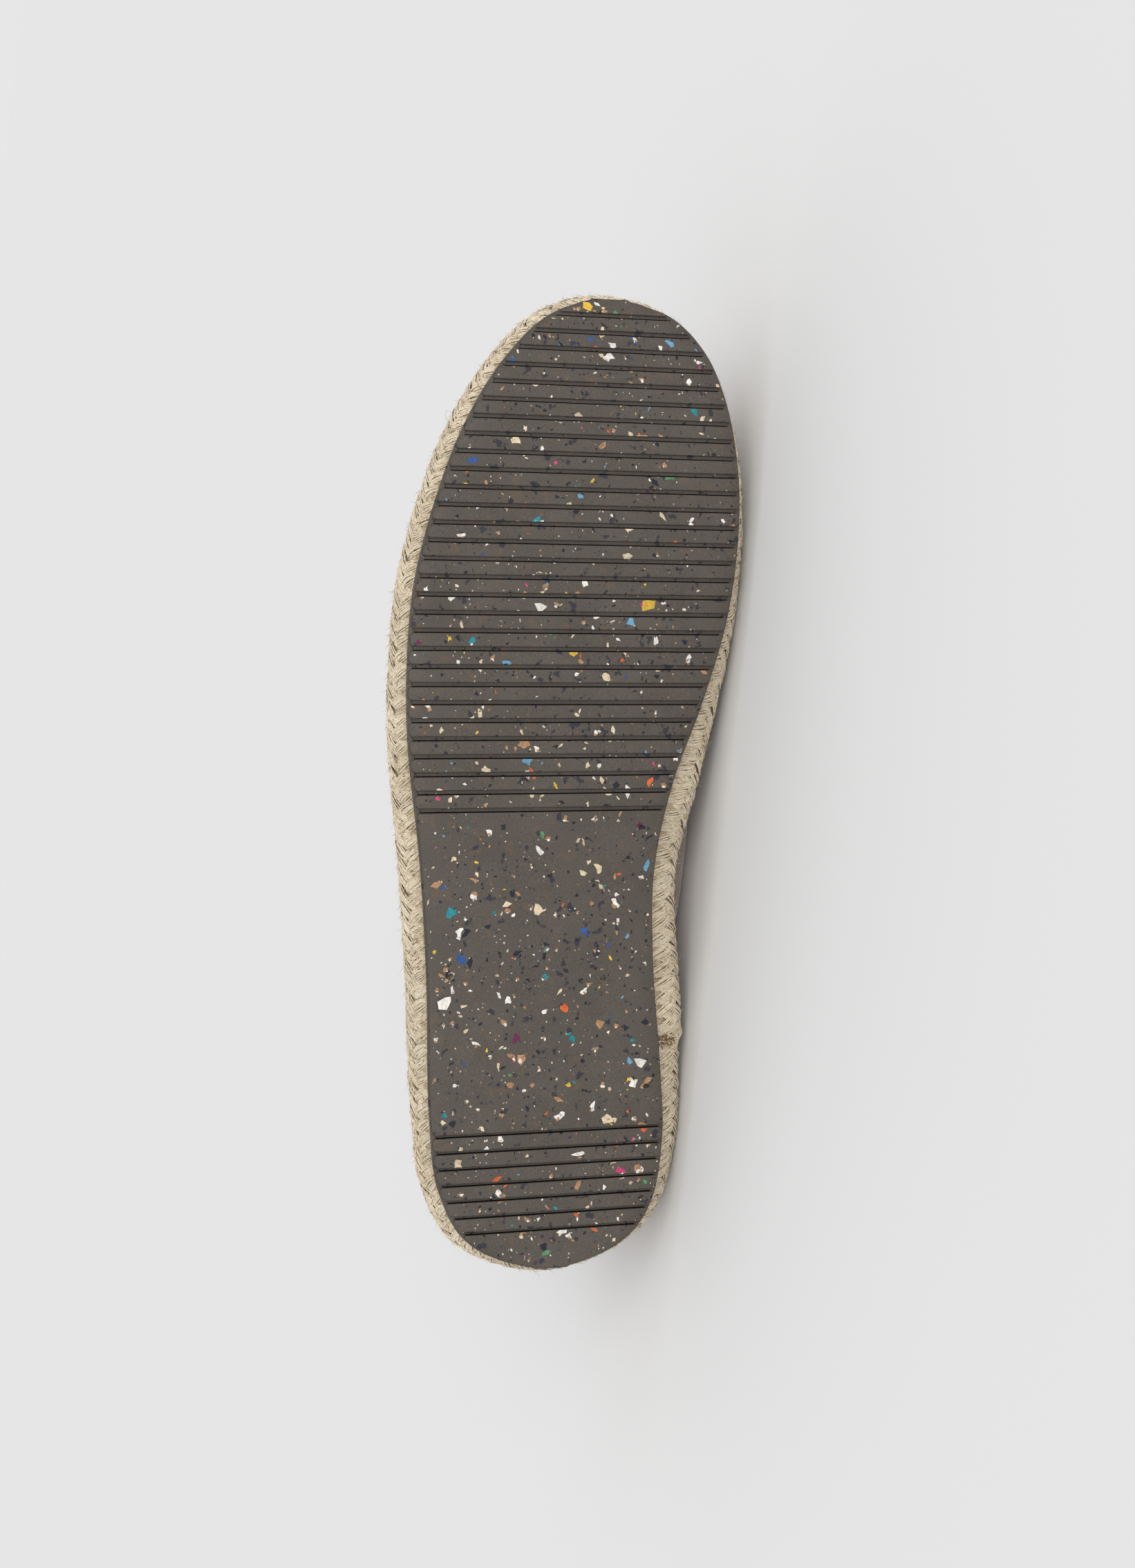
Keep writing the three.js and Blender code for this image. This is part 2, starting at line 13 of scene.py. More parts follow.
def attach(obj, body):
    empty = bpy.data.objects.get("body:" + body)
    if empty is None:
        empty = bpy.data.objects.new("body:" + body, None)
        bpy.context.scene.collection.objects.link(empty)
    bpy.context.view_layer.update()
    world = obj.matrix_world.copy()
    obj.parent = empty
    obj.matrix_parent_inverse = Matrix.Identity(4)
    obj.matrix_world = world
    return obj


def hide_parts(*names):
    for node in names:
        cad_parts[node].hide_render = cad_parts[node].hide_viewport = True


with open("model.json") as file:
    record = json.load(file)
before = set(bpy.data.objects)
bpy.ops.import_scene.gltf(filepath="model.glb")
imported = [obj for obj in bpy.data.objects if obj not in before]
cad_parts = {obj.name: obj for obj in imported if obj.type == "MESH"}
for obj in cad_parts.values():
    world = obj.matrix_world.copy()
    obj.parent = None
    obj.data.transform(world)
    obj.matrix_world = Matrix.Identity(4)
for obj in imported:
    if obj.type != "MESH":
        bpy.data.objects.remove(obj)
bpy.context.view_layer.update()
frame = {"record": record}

MM = 0.001
TAU = 2 * math.pi

# Sizes of the shoe, in millimetres
SOLE_LENGTH = 285.0
BALL_WIDTH = 97.5
WAIST_WIDTH = 69.0
HEEL_WIDTH = 71.0
TOE_SPRING = 7.5
TOE_SPRING_START = 188.0
RUBBER_THICKNESS = 3.7
RIM_WIDTH = 0.55
RIM_STEP = 1.5
GAP = 0.3
BRAID_HEIGHT = 14.2
BRAID_TUCK = 4.0
ARCH_FLARE = 9.3
UPPER_WALL = 1.8
FEATHER_TUCK = 4.6
HEEL_HEIGHT = 60.0
SIDE_HEIGHT = 44.0
INSTEP_HEIGHT = 61.0
INSOLE_THICKNESS = 3.0
JUTE_BOTTOM = RUBBER_THICKNESS + GAP
JUTE_TOP = JUTE_BOTTOM + BRAID_HEIGHT
UPPER_BOTTOM = JUTE_TOP + GAP

# Where the frame's sole mount lies on the upright shoe
MOUNT_PLACE = (0.0, 90.0, 0.0)

# Outline of the rubber, by the width it is measured in: share of the length, of the width and of the flare
OUTLINE = [
    (HEEL_WIDTH, [
        (0, 0, 0.25), (0.03, -0.33, 0.27), (0.085, -0.458, 0.28), (0.16, -0.497, 0.3),
    ]),
    (WAIST_WIDTH, [
        (0.3, -0.522, 0.4), (0.42, -0.549, 0.42),
    ]),
    (BALL_WIDTH, [
        (0.54, -0.424, 0.36), (0.62, -0.426, 0.31), (0.7, -0.405, 0.3), (0.78, -0.344, 0.3),
        (0.86, -0.252, 0.28), (0.93, -0.126, 0.26), (0.981, 0.027, 0.25), (1, 0.194, 0.25),
        (0.986, 0.402, 0.25), (0.95, 0.514, 0.26), (0.9, 0.577, 0.3), (0.83, 0.611, 0.38),
        (0.76, 0.61, 0.44), (0.67, 0.571, 0.57), (0.58, 0.489, 0.83),
    ]),
    (WAIST_WIDTH, [
        (0.5, 0.563, 1.14), (0.41, 0.478, 1.04), (0.31, 0.474, 1.1),
    ]),
    (HEEL_WIDTH, [
        (0.21, 0.49, 0.93), (0.13, 0.501, 0.78), (0.06, 0.447, 0.58), (0.022, 0.32, 0.34),
    ]),
]
TOE_ROW = 13

# Side of the braid: height share, flare share, tuck share
BRAID_PROFILE = [
    (0, 0, 0.3),
    (0.13, 0.38, 0),
    (0.32, 0.8, 0),
    (0.5, 1, 0),
    (0.7, 1, 0.08),
    (0.89, 1, 0.35),
    (1, 1, 0.85),
]

# Ribs of the upper: turn, along, across, height, its unit, bulge, rise, reach, drop
UPPER_ROWS = [
    (0, 0.022, 0, 1, HEEL_HEIGHT, 0.055, 0.36, 0.03, 0.34),
    (0.055, 0.055, -0.19, 0.96, HEEL_HEIGHT, 0.04, 0.36, 0.03, 0.34),
    (0.13, 0.19, -0.278, 0.83, HEEL_HEIGHT, 0.02, 0.38, 0.03, 0.34),
    (0.205, 0.345, -0.275, 1, SIDE_HEIGHT, 0.02, 0.4, 0.055, 0.34),
    (0.275, 0.47, -0.245, 1.1, SIDE_HEIGHT, 0.03, 0.42, 0.11, 0.28),
    (0.34, 0.552, -0.15, 0.93, INSTEP_HEIGHT, 0.04, 0.34, 0.25, 0.17),
    (0.395, 0.583, -0.065, 0.985, INSTEP_HEIGHT, 0.035, 0.34, 0.4, 0.22),
    (0.45, 0.593, 0.008, 1, INSTEP_HEIGHT, 0.035, 0.34, 0.6, 0.33),
    (0.5, 0.595, 0.085, 1, INSTEP_HEIGHT, 0.035, 0.34, 0.72, 0.36),
    (0.55, 0.593, 0.162, 1, INSTEP_HEIGHT, 0.035, 0.34, 0.6, 0.33),
    (0.605, 0.583, 0.235, 0.985, INSTEP_HEIGHT, 0.035, 0.34, 0.4, 0.22),
    (0.66, 0.552, 0.31, 0.93, INSTEP_HEIGHT, 0.04, 0.34, 0.26, 0.17),
    (0.725, 0.47, 0.37, 1.1, SIDE_HEIGHT, 0.15, 0.38, 0.16, 0.28),
    (0.8, 0.345, 0.36, 1, SIDE_HEIGHT, 0.235, 0.18, 0.16, 0.4),
    (0.875, 0.19, 0.31, 0.83, HEEL_HEIGHT, 0.07, 0.36, 0.06, 0.34),
    (0.945, 0.055, 0.2, 0.96, HEEL_HEIGHT, 0.055, 0.36, 0.04, 0.34),
]


def frame_of_shoe():
    """Mirroring matrix from the drawing in millimetres to the frame in metres, from the sole's mount."""
    mount = next(m for m in frame["record"]["mounts"] if m["name"] == "sole_tread")
    up = -Vector(mount["axis"]).normalized()
    toe = up.cross(Vector((0, 1, 0))).normalized()
    inner = up.cross(toe)
    turn = Matrix((inner, toe, up)).transposed()
    origin = Vector(mount["pos_m"]) - turn @ (Vector(MOUNT_PLACE) * MM)
    return np.array(turn), np.array(origin)


TURN, ORIGIN = frame_of_shoe()

# Soft yarn and suede that would sink into the floor is pressed flat just above it, in metres
PRESSED_ON_FLOOR = 0.00005


def to_frame(points):
    return (np.asarray(points, float) @ TURN.T) * MM + ORIGIN


def lift(y):
    """Toe spring."""
    share = np.clip((y - TOE_SPRING_START) / (SOLE_LENGTH - TOE_SPRING_START), 0, 1.1)
    return TOE_SPRING * share * share


def hermite(start, end, pull, push, share):
    """Point of a curve between two points, from its slopes there."""
    bend = 2 * (start - end) + pull + push
    return start + share * (pull + share * (3 * (end - start) - 2 * pull - push + share * bend))


def catmull(points, position):
    """Point of a closed centripetal curve; position counts the rows."""
    count = len(points)
    base = int(math.floor(position))
    share = position - base
    p0, p1, p2, p3 = (points[(base + k) % count] for k in (-1, 0, 1, 2))
    d0, d1, d2 = (max(np.sum((b - a) ** 2), 1e-8) ** 0.25 for a, b in ((p0, p1), (p1, p2), (p2, p3)))
    pull = ((p1 - p0) / d0 - (p2 - p0) / (d0 + d1) + (p2 - p1) / d1) * d1
    push = ((p2 - p1) / d1 - (p3 - p1) / (d1 + d2) + (p3 - p2) / d2) * d1
    return hermite(p1, p2, pull, push, share)


SIDE_SAMPLES = 700
STEPS_BETWEEN_ROWS = 40
NORMAL_SPREAD = 6


def even_side(points, first, last, count):
    """Samples between two rows of the outline, evenly spaced along it."""
    steps = (last - first) * STEPS_BETWEEN_ROWS
    fine = np.array([catmull(points, p) for p in np.linspace(first, last, steps + 1)])
    runs = np.concatenate([[0], np.cumsum(np.hypot(*np.diff(fine[:, :2], axis=0).T))])
    even = np.linspace(0, runs[-1], count + 1)
    return np.stack([np.interp(even, runs, fine[:, k]) for k in range(3)], 1), runs[-1]


outline_rows = np.array([(x * width, y * SOLE_LENGTH, z * ARCH_FLARE)
                         for width, rows in OUTLINE for y, x, z in rows])
outer_side, OUTER_RUN = even_side(outline_rows, 0, TOE_ROW, SIDE_SAMPLES)
inner_side, INNER_RUN = even_side(outline_rows, TOE_ROW, len(outline_rows), SIDE_SAMPLES)
RING = np.concatenate([outer_side[:-1], inner_side[:-1]])
PERIMETER = OUTER_RUN + INNER_RUN
ahead = np.roll(RING, -NORMAL_SPREAD - 1, 0) - np.roll(RING, NORMAL_SPREAD, 0)
ahead = ahead[:, :2] / np.linalg.norm(ahead[:, :2], axis=1, keepdims=True)
RING_TABLE = np.column_stack([RING, -ahead[:, 1], ahead[:, 0]])
RING_TABLE = np.vstack([RING_TABLE, RING_TABLE[:1]])
RING_TURNS = np.linspace(0, 1, len(RING_TABLE))


def edge(turn):
    """Columns x, y, flare, outward x and outward y on the outline."""
    wrapped = np.mod(turn, 1)
    return [np.interp(wrapped, RING_TURNS, RING_TABLE[:, k]) for k in range(5)]


def run_along(path):
    """Length along a path up to each of its points."""
    return np.concatenate([[0], np.cumsum(np.linalg.norm(np.diff(path, axis=0), axis=1))])


def turn_at_run(run):
    wrapped = np.mod(run, PERIMETER)
    outer = 0.5 * wrapped / OUTER_RUN
    inner = 0.5 + 0.5 * (wrapped - OUTER_RUN) / INNER_RUN
    return np.where(wrapped <= OUTER_RUN, outer, inner)


def off_edge(turn, distance, height):
    x, y, _, out_x, out_y = edge(turn)
    y = y + out_y * distance
    return np.stack(np.broadcast_arrays(x + out_x * distance, y, height + lift(y)), -1)


def turn_beside(y, inner):
    """Turn of the outline at a place along the shoe, on one side."""
    turns = np.linspace(0.5, 0.999 if inner else 0.001, 400)
    places = edge(turns)[1]
    return float(np.interp(-y, -places, turns))


def braid_distance(height, flare):
    """How far the braid's side stands off the rubber's edge at a share of its height."""
    heights, flares, tucks = np.array(BRAID_PROFILE, float).T
    out, back = (np.mean([np.interp(height + step, heights, values) for step in (-0.05, 0, 0.05)], 0)
                 for values in (flares, tucks))
    return out * flare - back * BRAID_TUCK


def new_object(name, points, faces, materials, slots=None, smooth_angle=35, uvs=None):
    """A piece from points of the drawing. Its faces are turned over, because it is mirrored."""
    places = to_frame(points)
    places[:, 2] = np.maximum(places[:, 2], PRESSED_ON_FLOOR)
    mesh = bpy.data.meshes.new(name)
    mesh.from_pydata(places.tolist(), [], [face[::-1] for face in faces])
    for item in materials:
        mesh.materials.append(item)
    if slots is not None:
        mesh.polygons.foreach_set("material_index", np.asarray(slots, np.int32))
    if uvs is not None:
        layer = mesh.uv_layers.new(name="thread")
        corners = np.empty(len(mesh.loops), np.int32)
        mesh.loops.foreach_get("vertex_index", corners)
        layer.data.foreach_set("uv", np.asarray(uvs, np.float32)[corners].ravel())
    mesh.validate()
    mesh.shade_smooth()
    mesh.set_sharp_from_angle(angle=math.radians(smooth_angle))
    piece = bpy.data.objects.new(name, mesh)
    bpy.context.scene.collection.objects.link(piece)
    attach(piece, "root")
    return piece


def grid_faces(rows, columns, loop_rows=False, loop_columns=True, flip=False, start=0):
    """Quads of a grid whose points are stored row by row, closed across its columns or rows or not."""
    faces = []
    for r in range(rows if loop_rows else rows - 1):
        for c in range(columns if loop_columns else columns - 1):
            d = (c + 1) % columns
            s = (r + 1) % rows
            quad = (r * columns + c, r * columns + d, s * columns + d, s * columns + c)
            quad = tuple(start + k for k in quad)
            faces.append(quad[::-1] if flip else quad)
    return faces


def end_faces(rows, columns, start=0):
    """Faces over the two ends of a grid."""
    last = start + (rows - 1) * columns
    return [tuple(range(start, start + columns)), tuple(reversed(range(last, last + columns)))]


def lid_faces(points, row, face_up):
    """Lid over a closed row of point numbers, stitched across from the heel to the toe."""
    y = [points[k][1] for k in row]
    heel, toe = y.index(min(y)), y.index(max(y))
    count = len(row)
    outer = [row[(heel + k) % count] for k in range((toe - heel) % count + 1)]
    inner = [row[(heel - k) % count] for k in range((heel - toe) % count + 1)]
    i = j = 0
    faces = []
    while i < len(outer) - 1 or j < len(inner) - 1:
        outer_next = points[outer[i + 1]][1] if i < len(outer) - 1 else math.inf
        inner_next = points[inner[j + 1]][1] if j < len(inner) - 1 else math.inf
        take_outer = outer_next <= inner_next
        corners = (outer[i], inner[j], outer[i + 1] if take_outer else inner[j + 1])
        if len(set(corners)) == 3:
            faces.append(corners if face_up else corners[::-1])
        if take_outer:
            i += 1
        else:
            j += 1
    return faces


def lidded_rings(rings):
    """Points and faces of a solid with closed rings from its underside to its top."""
    points = np.concatenate(rings)
    count = len(rings[0])
    faces = grid_faces(len(rings), count, flip=True)
    faces += lid_faces(points, list(range(count)), False)
    faces += lid_faces(points, list(range((len(rings) - 1) * count, len(rings) * count)), True)
    return points, faces


def tubes(paths, sides, taper=False, flat=1.0):
    """Points, faces and thread coordinates of tubes; a path is (points, radius, outward hints)."""
    points, faces, uvs = [], [], []
    start = 0
    angles = np.arange(sides) * TAU / sides
    for number, (path, radius, hints) in enumerate(paths):
        count = len(path)
        along = np.gradient(path, axis=0)
        along /= np.linalg.norm(along, axis=1, keepdims=True)
        across = np.cross(along, hints)
        across /= np.linalg.norm(across, axis=1, keepdims=True)
        out = np.cross(across, along)
        run = run_along(path)
        size = np.full(count, float(radius))
        if taper:
            size = size * np.clip(1.15 - np.linspace(0, 1, count), 0.2, 1)
        ring = np.cos(angles)[None, :, None] * out[:, None] * flat
        ring = ring + np.sin(angles)[None, :, None] * across[:, None]
        points.append((path[:, None] + ring * size[:, None, None]).reshape(-1, 3))
        thread = np.stack(np.broadcast_arrays(run[:, None] + 37.0 * number, angles[None] * radius), -1)
        uvs.append(thread.reshape(-1, 2))
        faces += grid_faces(count, sides, flip=True, start=start)
        faces += end_faces(count, sides, start)
        start += count * sides
    return np.concatenate(points), faces, np.concatenate(uvs)


# Materials


def srgb(red, green, blue):
    """Linear colour from 0 to 255 values."""
    parts = [value / 255 for value in (red, green, blue)]
    return tuple(p / 12.92 if p <= 0.04045 else ((p + 0.055) / 1.055) ** 2.4 for p in parts) + (1.0,)


class Finish:
    """A material with a few helpers for its nodes."""

    def __init__(self, name, roughness, specular=0.5, sheen=0.0):
        self.material = bpy.data.materials.new(name)
        self.material.use_nodes = True
        self.nodes = self.material.node_tree.nodes
        self.links = self.material.node_tree.links
        self.shader = self.nodes["Principled BSDF"]
        self.shader.inputs["Roughness"].default_value = roughness
        self.shader.inputs["Specular IOR Level"].default_value = specular
        self.shader.inputs["Sheen Weight"].default_value = sheen
        self.place = self.nodes.new("ShaderNodeTexCoord")

    def node(self, kind, **values):
        """A node with its sockets and settings filled in."""
        made = self.nodes.new("ShaderNode" + kind)
        for key, value in values.items():
            if key in made.inputs:
                made.inputs[key].default_value = value
            else:
                setattr(made, key, value)
        return made

    def link(self, source, target):
        """Feed a socket with another node's output or a constant."""
        if isinstance(source, (int, float, tuple)):
            target.default_value = source
        else:
            self.links.new(source, target)

    def math(self, operation, first, second):
        made = self.node("Math", operation=operation)
        self.link(first, made.inputs[0])
        self.link(second, made.inputs[1])
        return made.outputs[0]

    def texture(self, kind, vector=None, **values):
        made = self.node("Tex" + kind, **values)
        self.link(vector or self.place.outputs["Object"], made.inputs["Vector"])
        return made

    def noise(self, scale, detail=3.0, rough=0.6, vector=None):
        made = self.texture("Noise", vector, Scale=scale, Detail=detail, Roughness=rough)
        return made.outputs["Fac"]

    def ramp(self, value, stops):
        made = self.node("ValToRGB")
        ramp = made.color_ramp
        while len(ramp.elements) < len(stops):
            ramp.elements.new(0.5)
        for element, (position, color) in zip(ramp.elements, stops):
            element.position = position
            element.color = color
        self.link(value, made.inputs["Fac"])
        return made.outputs["Color"]

    def tones(self, value, low, high):
        return self.ramp(value, [(0.3, low), (0.7, high)])

    def mix(self, share, first, second, blend="MIX"):
        made = self.node("Mix", data_type="RGBA", blend_type=blend)
        for socket, value in ((0, share), (6, first), (7, second)):
            self.link(value, made.inputs[socket])
        return made.outputs[2]

    def color(self, socket):
        self.link(socket, self.shader.inputs["Base Color"])

    def bump(self, height, distance, strength):
        made = self.node("Bump", Strength=strength, Distance=distance)
        self.link(height, made.inputs["Height"])
        self.link(made.outputs[0], self.shader.inputs["Normal"])


BLACK = (0, 0, 0, 1)
WHITE = (1, 1, 1, 1)


# Soft blots in the rubber: noise scale, where a blot begins, its colour, its strongest share
BLOTS = [
    (300, 0.62, srgb(124, 96, 72), 0.3),
    (340, 0.64, srgb(38, 41, 58), 0.8),
    (520, 0.665, srgb(20, 23, 34), 0.95),
]

# Pale crumbs in the rubber: cell scale, largest radius, share of cells left empty, colour
CRUMBS = [
    (780, 0.2, 0.84, srgb(205, 196, 178)),
    (430, 0.13, 0.86, srgb(196, 160, 118)),
]


def rubber_finish(name, tone):
    """Recycled rubber: warm grey-brown, with pale crumbs and dark soft patches."""
    finish = Finish(name, 0.62, specular=0.35)
    base = finish.tones(finish.noise(70, 4), srgb(84, 77, 69), srgb(98, 91, 83))
    fine = finish.noise(2600, 2)
    base = finish.mix(0.35, base, finish.ramp(fine, [(0.35, srgb(66, 60, 54)), (0.7, srgb(120, 112, 102))]))
    for scale, low, tint, most in BLOTS:
        blot = finish.ramp(finish.noise(scale, 2, 0.5), [(low, BLACK), (low + 0.05, (most, most, most, 1))])
        base = finish.mix(blot, base, tint)
    for scale, radius, share, tint in CRUMBS:
        crumbs = finish.texture("Voronoi", Scale=scale, Randomness=1.0)
        split = finish.node("SeparateColor")
        finish.link(crumbs.outputs["Color"], split.inputs[0])
        chosen = finish.math("GREATER_THAN", split.outputs[0], share)
        reach = finish.math("MULTIPLY", split.outputs[1], radius)
        inside = finish.math("LESS_THAN", crumbs.outputs["Distance"], reach)
        base = finish.mix(finish.math("MULTIPLY", chosen, inside), base, tint)
    # The tone scales the whole colour; the lower tone of the grooves' copy is painted shade.
    finish.color(finish.mix(1.0, base, (tone, tone, tone, 1.0), "MULTIPLY"))
    finish.bump(fine, 0.00008, 0.5)
    return finish.material


def plain_finish(name, tint):
    """One flat dull colour."""
    finish = Finish(name, 0.9, specular=0.1)
    finish.shader.inputs["Base Color"].default_value = tint
    return finish.material


def chip_finish():
    """Colour chips, whose colour is on the mesh."""
    finish = Finish("rubber_chips", 0.5, specular=0.4)
    paint = finish.node("Attribute", attribute_name="chip_color")
    grain = finish.ramp(finish.noise(900, 3), [(0.3, (0.62, 0.6, 0.56, 1)), (0.6, WHITE)])
    finish.color(finish.mix(1.0, paint.outputs["Color"], grain, "MULTIPLY"))
    finish.bump(finish.noise(1800, 2), 0.00006, 0.5)
    return finish.material


def jute_finish(name, pale, middle, dark):
    """Jute yarn: fibres that run along the thread with a slight twist."""
    finish = Finish(name, 0.85, specular=0.2, sheen=0.12)
    split = finish.node("SeparateXYZ")
    finish.link(finish.place.outputs["UV"], split.inputs[0])
    twisted = finish.math("ADD", split.outputs[1], finish.math("MULTIPLY", split.outputs[0], 0.35))

    def stretched(along, around):
        joined = finish.node("CombineXYZ")
        finish.link(finish.math("MULTIPLY", split.outputs[0], along), joined.inputs[0])
        finish.link(finish.math("MULTIPLY", twisted, around), joined.inputs[1])
        return joined.outputs[0]

    fibres = finish.noise(1.3, 4, 0.65, stretched(0.22, 2.6))
    base = finish.ramp(fibres, [(0.3, dark), (0.43, middle), (0.6, pale)])
    # Dark brown flecks along the fibres, scattered at random: painted shade standing in for the dark gaps
    # between strands.
    gap_shade_flecks = finish.noise(1.1, 1, 0.4, stretched(0.55, 1.5))
    gap_shade_flecks = finish.ramp(gap_shade_flecks, [(0.66, BLACK), (0.7, (0.75, 0.75, 0.75, 1))])
    base = finish.mix(gap_shade_flecks, base, tuple(0.55 * part for part in dark[:3]) + (1.0,))
    patches = finish.ramp(finish.noise(110, 3), [(0.35, (0.86, 0.84, 0.8, 1)), (0.65, WHITE)])
    finish.color(finish.mix(1.0, base, patches, "MULTIPLY"))
    finish.bump(fibres, 0.0004, 0.8)
    return finish.material


def suede_finish():
    """Taupe suede with a short mottled nap."""
    finish = Finish("suede", 0.95, specular=0.15, sheen=0.35)
    nap = finish.noise(900, 4, 0.7)
    cloud = finish.noise(90, 4, 0.6)
    base = finish.tones(nap, srgb(126, 108, 96), srgb(176, 157, 141))
    shade = finish.tones(cloud, (0.82, 0.8, 0.78, 1), (1.08, 1.06, 1.04, 1))
    finish.color(finish.mix(1.0, base, shade, "MULTIPLY"))
    finish.bump(nap, 0.0003, 0.55)
    return finish.material


def leather_finish(name, low, high, grain=420, relief=0.00012):
    """Smooth leather with a fine pebble grain."""
    finish = Finish(name, 0.55, specular=0.4)
    cells = finish.texture("Voronoi", Scale=grain, feature="DISTANCE_TO_EDGE")
    finish.color(finish.tones(finish.noise(60, 4), low, high))
    finish.bump(cells.outputs["Distance"], relief, 0.5)
    return finish.material


def canvas_finish(name, low, high):
    """Plain woven cotton."""
    finish = Finish(name, 0.92, specular=0.15, sheen=0.15)
    waves = []
    for direction in ("X", "Z"):
        wave = finish.texture("Wave", bands_direction=direction, Scale=1100 / 3.14, Distortion=1.2)
        wave.inputs["Detail"].default_value = 1.0
        waves.append(wave.outputs["Fac"])
    weave = finish.math("MULTIPLY", waves[0], waves[1])
    woven = finish.ramp(weave, [(0.1, low), (0.8, high)])
    cloud = finish.tones(finish.noise(160, 4), low, high)
    finish.color(finish.mix(0.5, woven, cloud))
    finish.bump(weave, 0.0003, 0.7)
    return finish.material


def thread_finish(name, tint):
    """Sewing thread."""
    finish = Finish(name, 0.7, specular=0.3)
    twist = finish.noise(2200, 2)
    dull = tuple(0.7 * part for part in tint[:3]) + (1.0,)
    finish.color(finish.ramp(twist, [(0.35, dull), (0.65, tint)]))
    finish.bump(twist, 0.0001, 0.5)
    return finish.material


def floor_finish():
    """Pale seamless floor."""
    finish = Finish("pale_floor", 1.0, specular=0.0)
    shade = finish.noise(6, 2)
    low, high = ((tone, tone, tone, 1) for tone in (FLOOR_TONE * 0.995, FLOOR_TONE))
    finish.color(finish.tones(shade, low, high))
    return finish.material


FLOOR_TONE = 0.785

RUBBER = rubber_finish("speckled_rubber", 0.74)
# Darker copy of the rubber for the grooves' floors: painted shade in the grooves.
RUBBER_PAINTED_GROOVE_SHADE = rubber_finish("rubber_painted_groove_shade", 0.58)
# Near-black rubber in the slits: a painted shadow.
RUBBER_PAINTED_SLIT_SHADOW = plain_finish("rubber_painted_slit_shadow", srgb(22, 20, 18))
CHIP = chip_finish()
JUTE = jute_finish("jute_yarn", srgb(248, 237, 216), srgb(226, 210, 180), srgb(152, 120, 78))
JUTE_CORE = jute_finish("jute_core", srgb(222, 206, 176), srgb(192, 172, 138), srgb(132, 104, 66))
JUTE_BROWN = jute_finish("jute_cut_end", srgb(176, 146, 102), srgb(134, 100, 62), srgb(70, 46, 24))
SUEDE = suede_finish()
BINDING = leather_finish("binding_leather", srgb(104, 88, 76), srgb(122, 104, 90))
LINING = leather_finish("lining_leather", srgb(196, 172, 140), srgb(212, 190, 158), 600, 0.00006)
SOCK = canvas_finish("sock_canvas", srgb(168, 150, 120), srgb(214, 198, 168))
STITCH = thread_finish("upper_thread", srgb(176, 158, 140))


# Outsole

FORE_PITCH = 5.17
FORE_START = 135.0
FORE_COUNT = 29
FORE_WIDTH = 1.3
HEEL_PITCH = 4.78
HEEL_START = 12.0
HEEL_COUNT = 7
HEEL_GROOVE = 0.9
GROOVE_FLOOR = 0.8
SLIT_DEPTH = 1.4
SLIT_WIDTH = 0.26
CORNER = 1.4
WALL_TAPER = 0.7
SIDE_END = 0.4

HEEL_STATIONS = (2.4, 3.4, 4.8, 6.4, 8.2)
LAND_STEP = 6
LAND_MARGIN = 1.3
CLOSEST_ROWS = 0.004
TREAD_COLUMN = 4
BAR_END_SHARE = 0.8

# Ends of the outsole: distance from the end, depth below the tread
END_STEPS = [
    (0, RIM_STEP - 0.1),
    (0.12, RIM_STEP - 0.1),
    (RIM_WIDTH, RIM_STEP - 0.15),
    (RIM_WIDTH + 0.05, 0.3),
    (RIM_WIDTH + 0.2, 0.08),
    (RIM_WIDTH + 0.5, 0),
]

# Long edge of a bar: distance from its groove, depth below the tread
SHOULDER = [(1.2, 0.0), (0.7, 0.0), (0.4, 0.0), (0.2, 0.03), (0.06, 0.14), (0.0, 0.4)]

fore_grooves = [(FORE_START + k * FORE_PITCH, FORE_WIDTH) for k in range(FORE_COUNT)]
heel_grooves = [(HEEL_START + k * HEEL_PITCH, HEEL_GROOVE) for k in range(HEEL_COUNT)]
GROOVES = heel_grooves + fore_grooves


def side_of_inset(inset):
    """Functions that give x of the outline's two sides, drawn in, at a place along the shoe."""
    half = np.linspace(0, 0.5, SIDE_SAMPLES + 1)
    outer = off_edge(half, -inset, 0.0)
    inner = off_edge(1 - half, -inset, 0.0)
    low = max(outer[0, 1], inner[0, 1]) + SIDE_END
    high = min(outer[-1, 1], inner[-1, 1]) - SIDE_END

    def across(side, y):
        order = np.argsort(side[:, 1], kind="stable")
        return np.interp(np.clip(y, low, high), side[order, 1], side[order, 0])

    return lambda y: (across(outer, y), across(inner, y))


rubber_sides = side_of_inset(0.0)
tread_sides = side_of_inset(RIM_WIDTH)


def corner_inset(distance):
    """How far a bar's end draws in near its long edge, for a rounded corner."""
    inside = max(CORNER - distance, 0.0)
    return CORNER - math.sqrt(max(CORNER ** 2 - inside ** 2, 0.0))


def outsole_stations():
    """Rows (place along, depth of the tread, draw-in of the tread's ends), and where the slits run."""
    slits = []
    rows = [(d, z, 0) for d, z in END_STEPS]
    rows += [(y, 0, 0) for y in HEEL_STATIONS]
    for centre, width in GROOVES:
        heelward = centre - width / 2
        toeward = centre + width / 2
        last = rows[-1][0]
        land = heelward - LAND_MARGIN - last
        steps = max(1, round(land / LAND_STEP))
        rows += [(last + land * k / steps, 0, 0) for k in range(1, steps)]
        rows += [(heelward - d, z, corner_inset(d)) for d, z in SHOULDER]
        slits.append((heelward - 0.01, heelward + SLIT_WIDTH + 0.07))
        rows += [
            (heelward + 0.05, SLIT_DEPTH, CORNER),
            (heelward + SLIT_WIDTH, SLIT_DEPTH, CORNER),
            (heelward + SLIT_WIDTH + 0.06, GROOVE_FLOOR, CORNER),
            (toeward - 0.1, GROOVE_FLOOR - 0.08, CORNER),
        ]
        rows += [(toeward + d, z, corner_inset(d)) for d, z in reversed(SHOULDER)]
    rows += [(SOLE_LENGTH - d, z, 0) for d, z in reversed(END_STEPS)]
    return [row for k, row in enumerate(rows) if k == 0 or row[0] > rows[k - 1][0] + CLOSEST_ROWS], slits


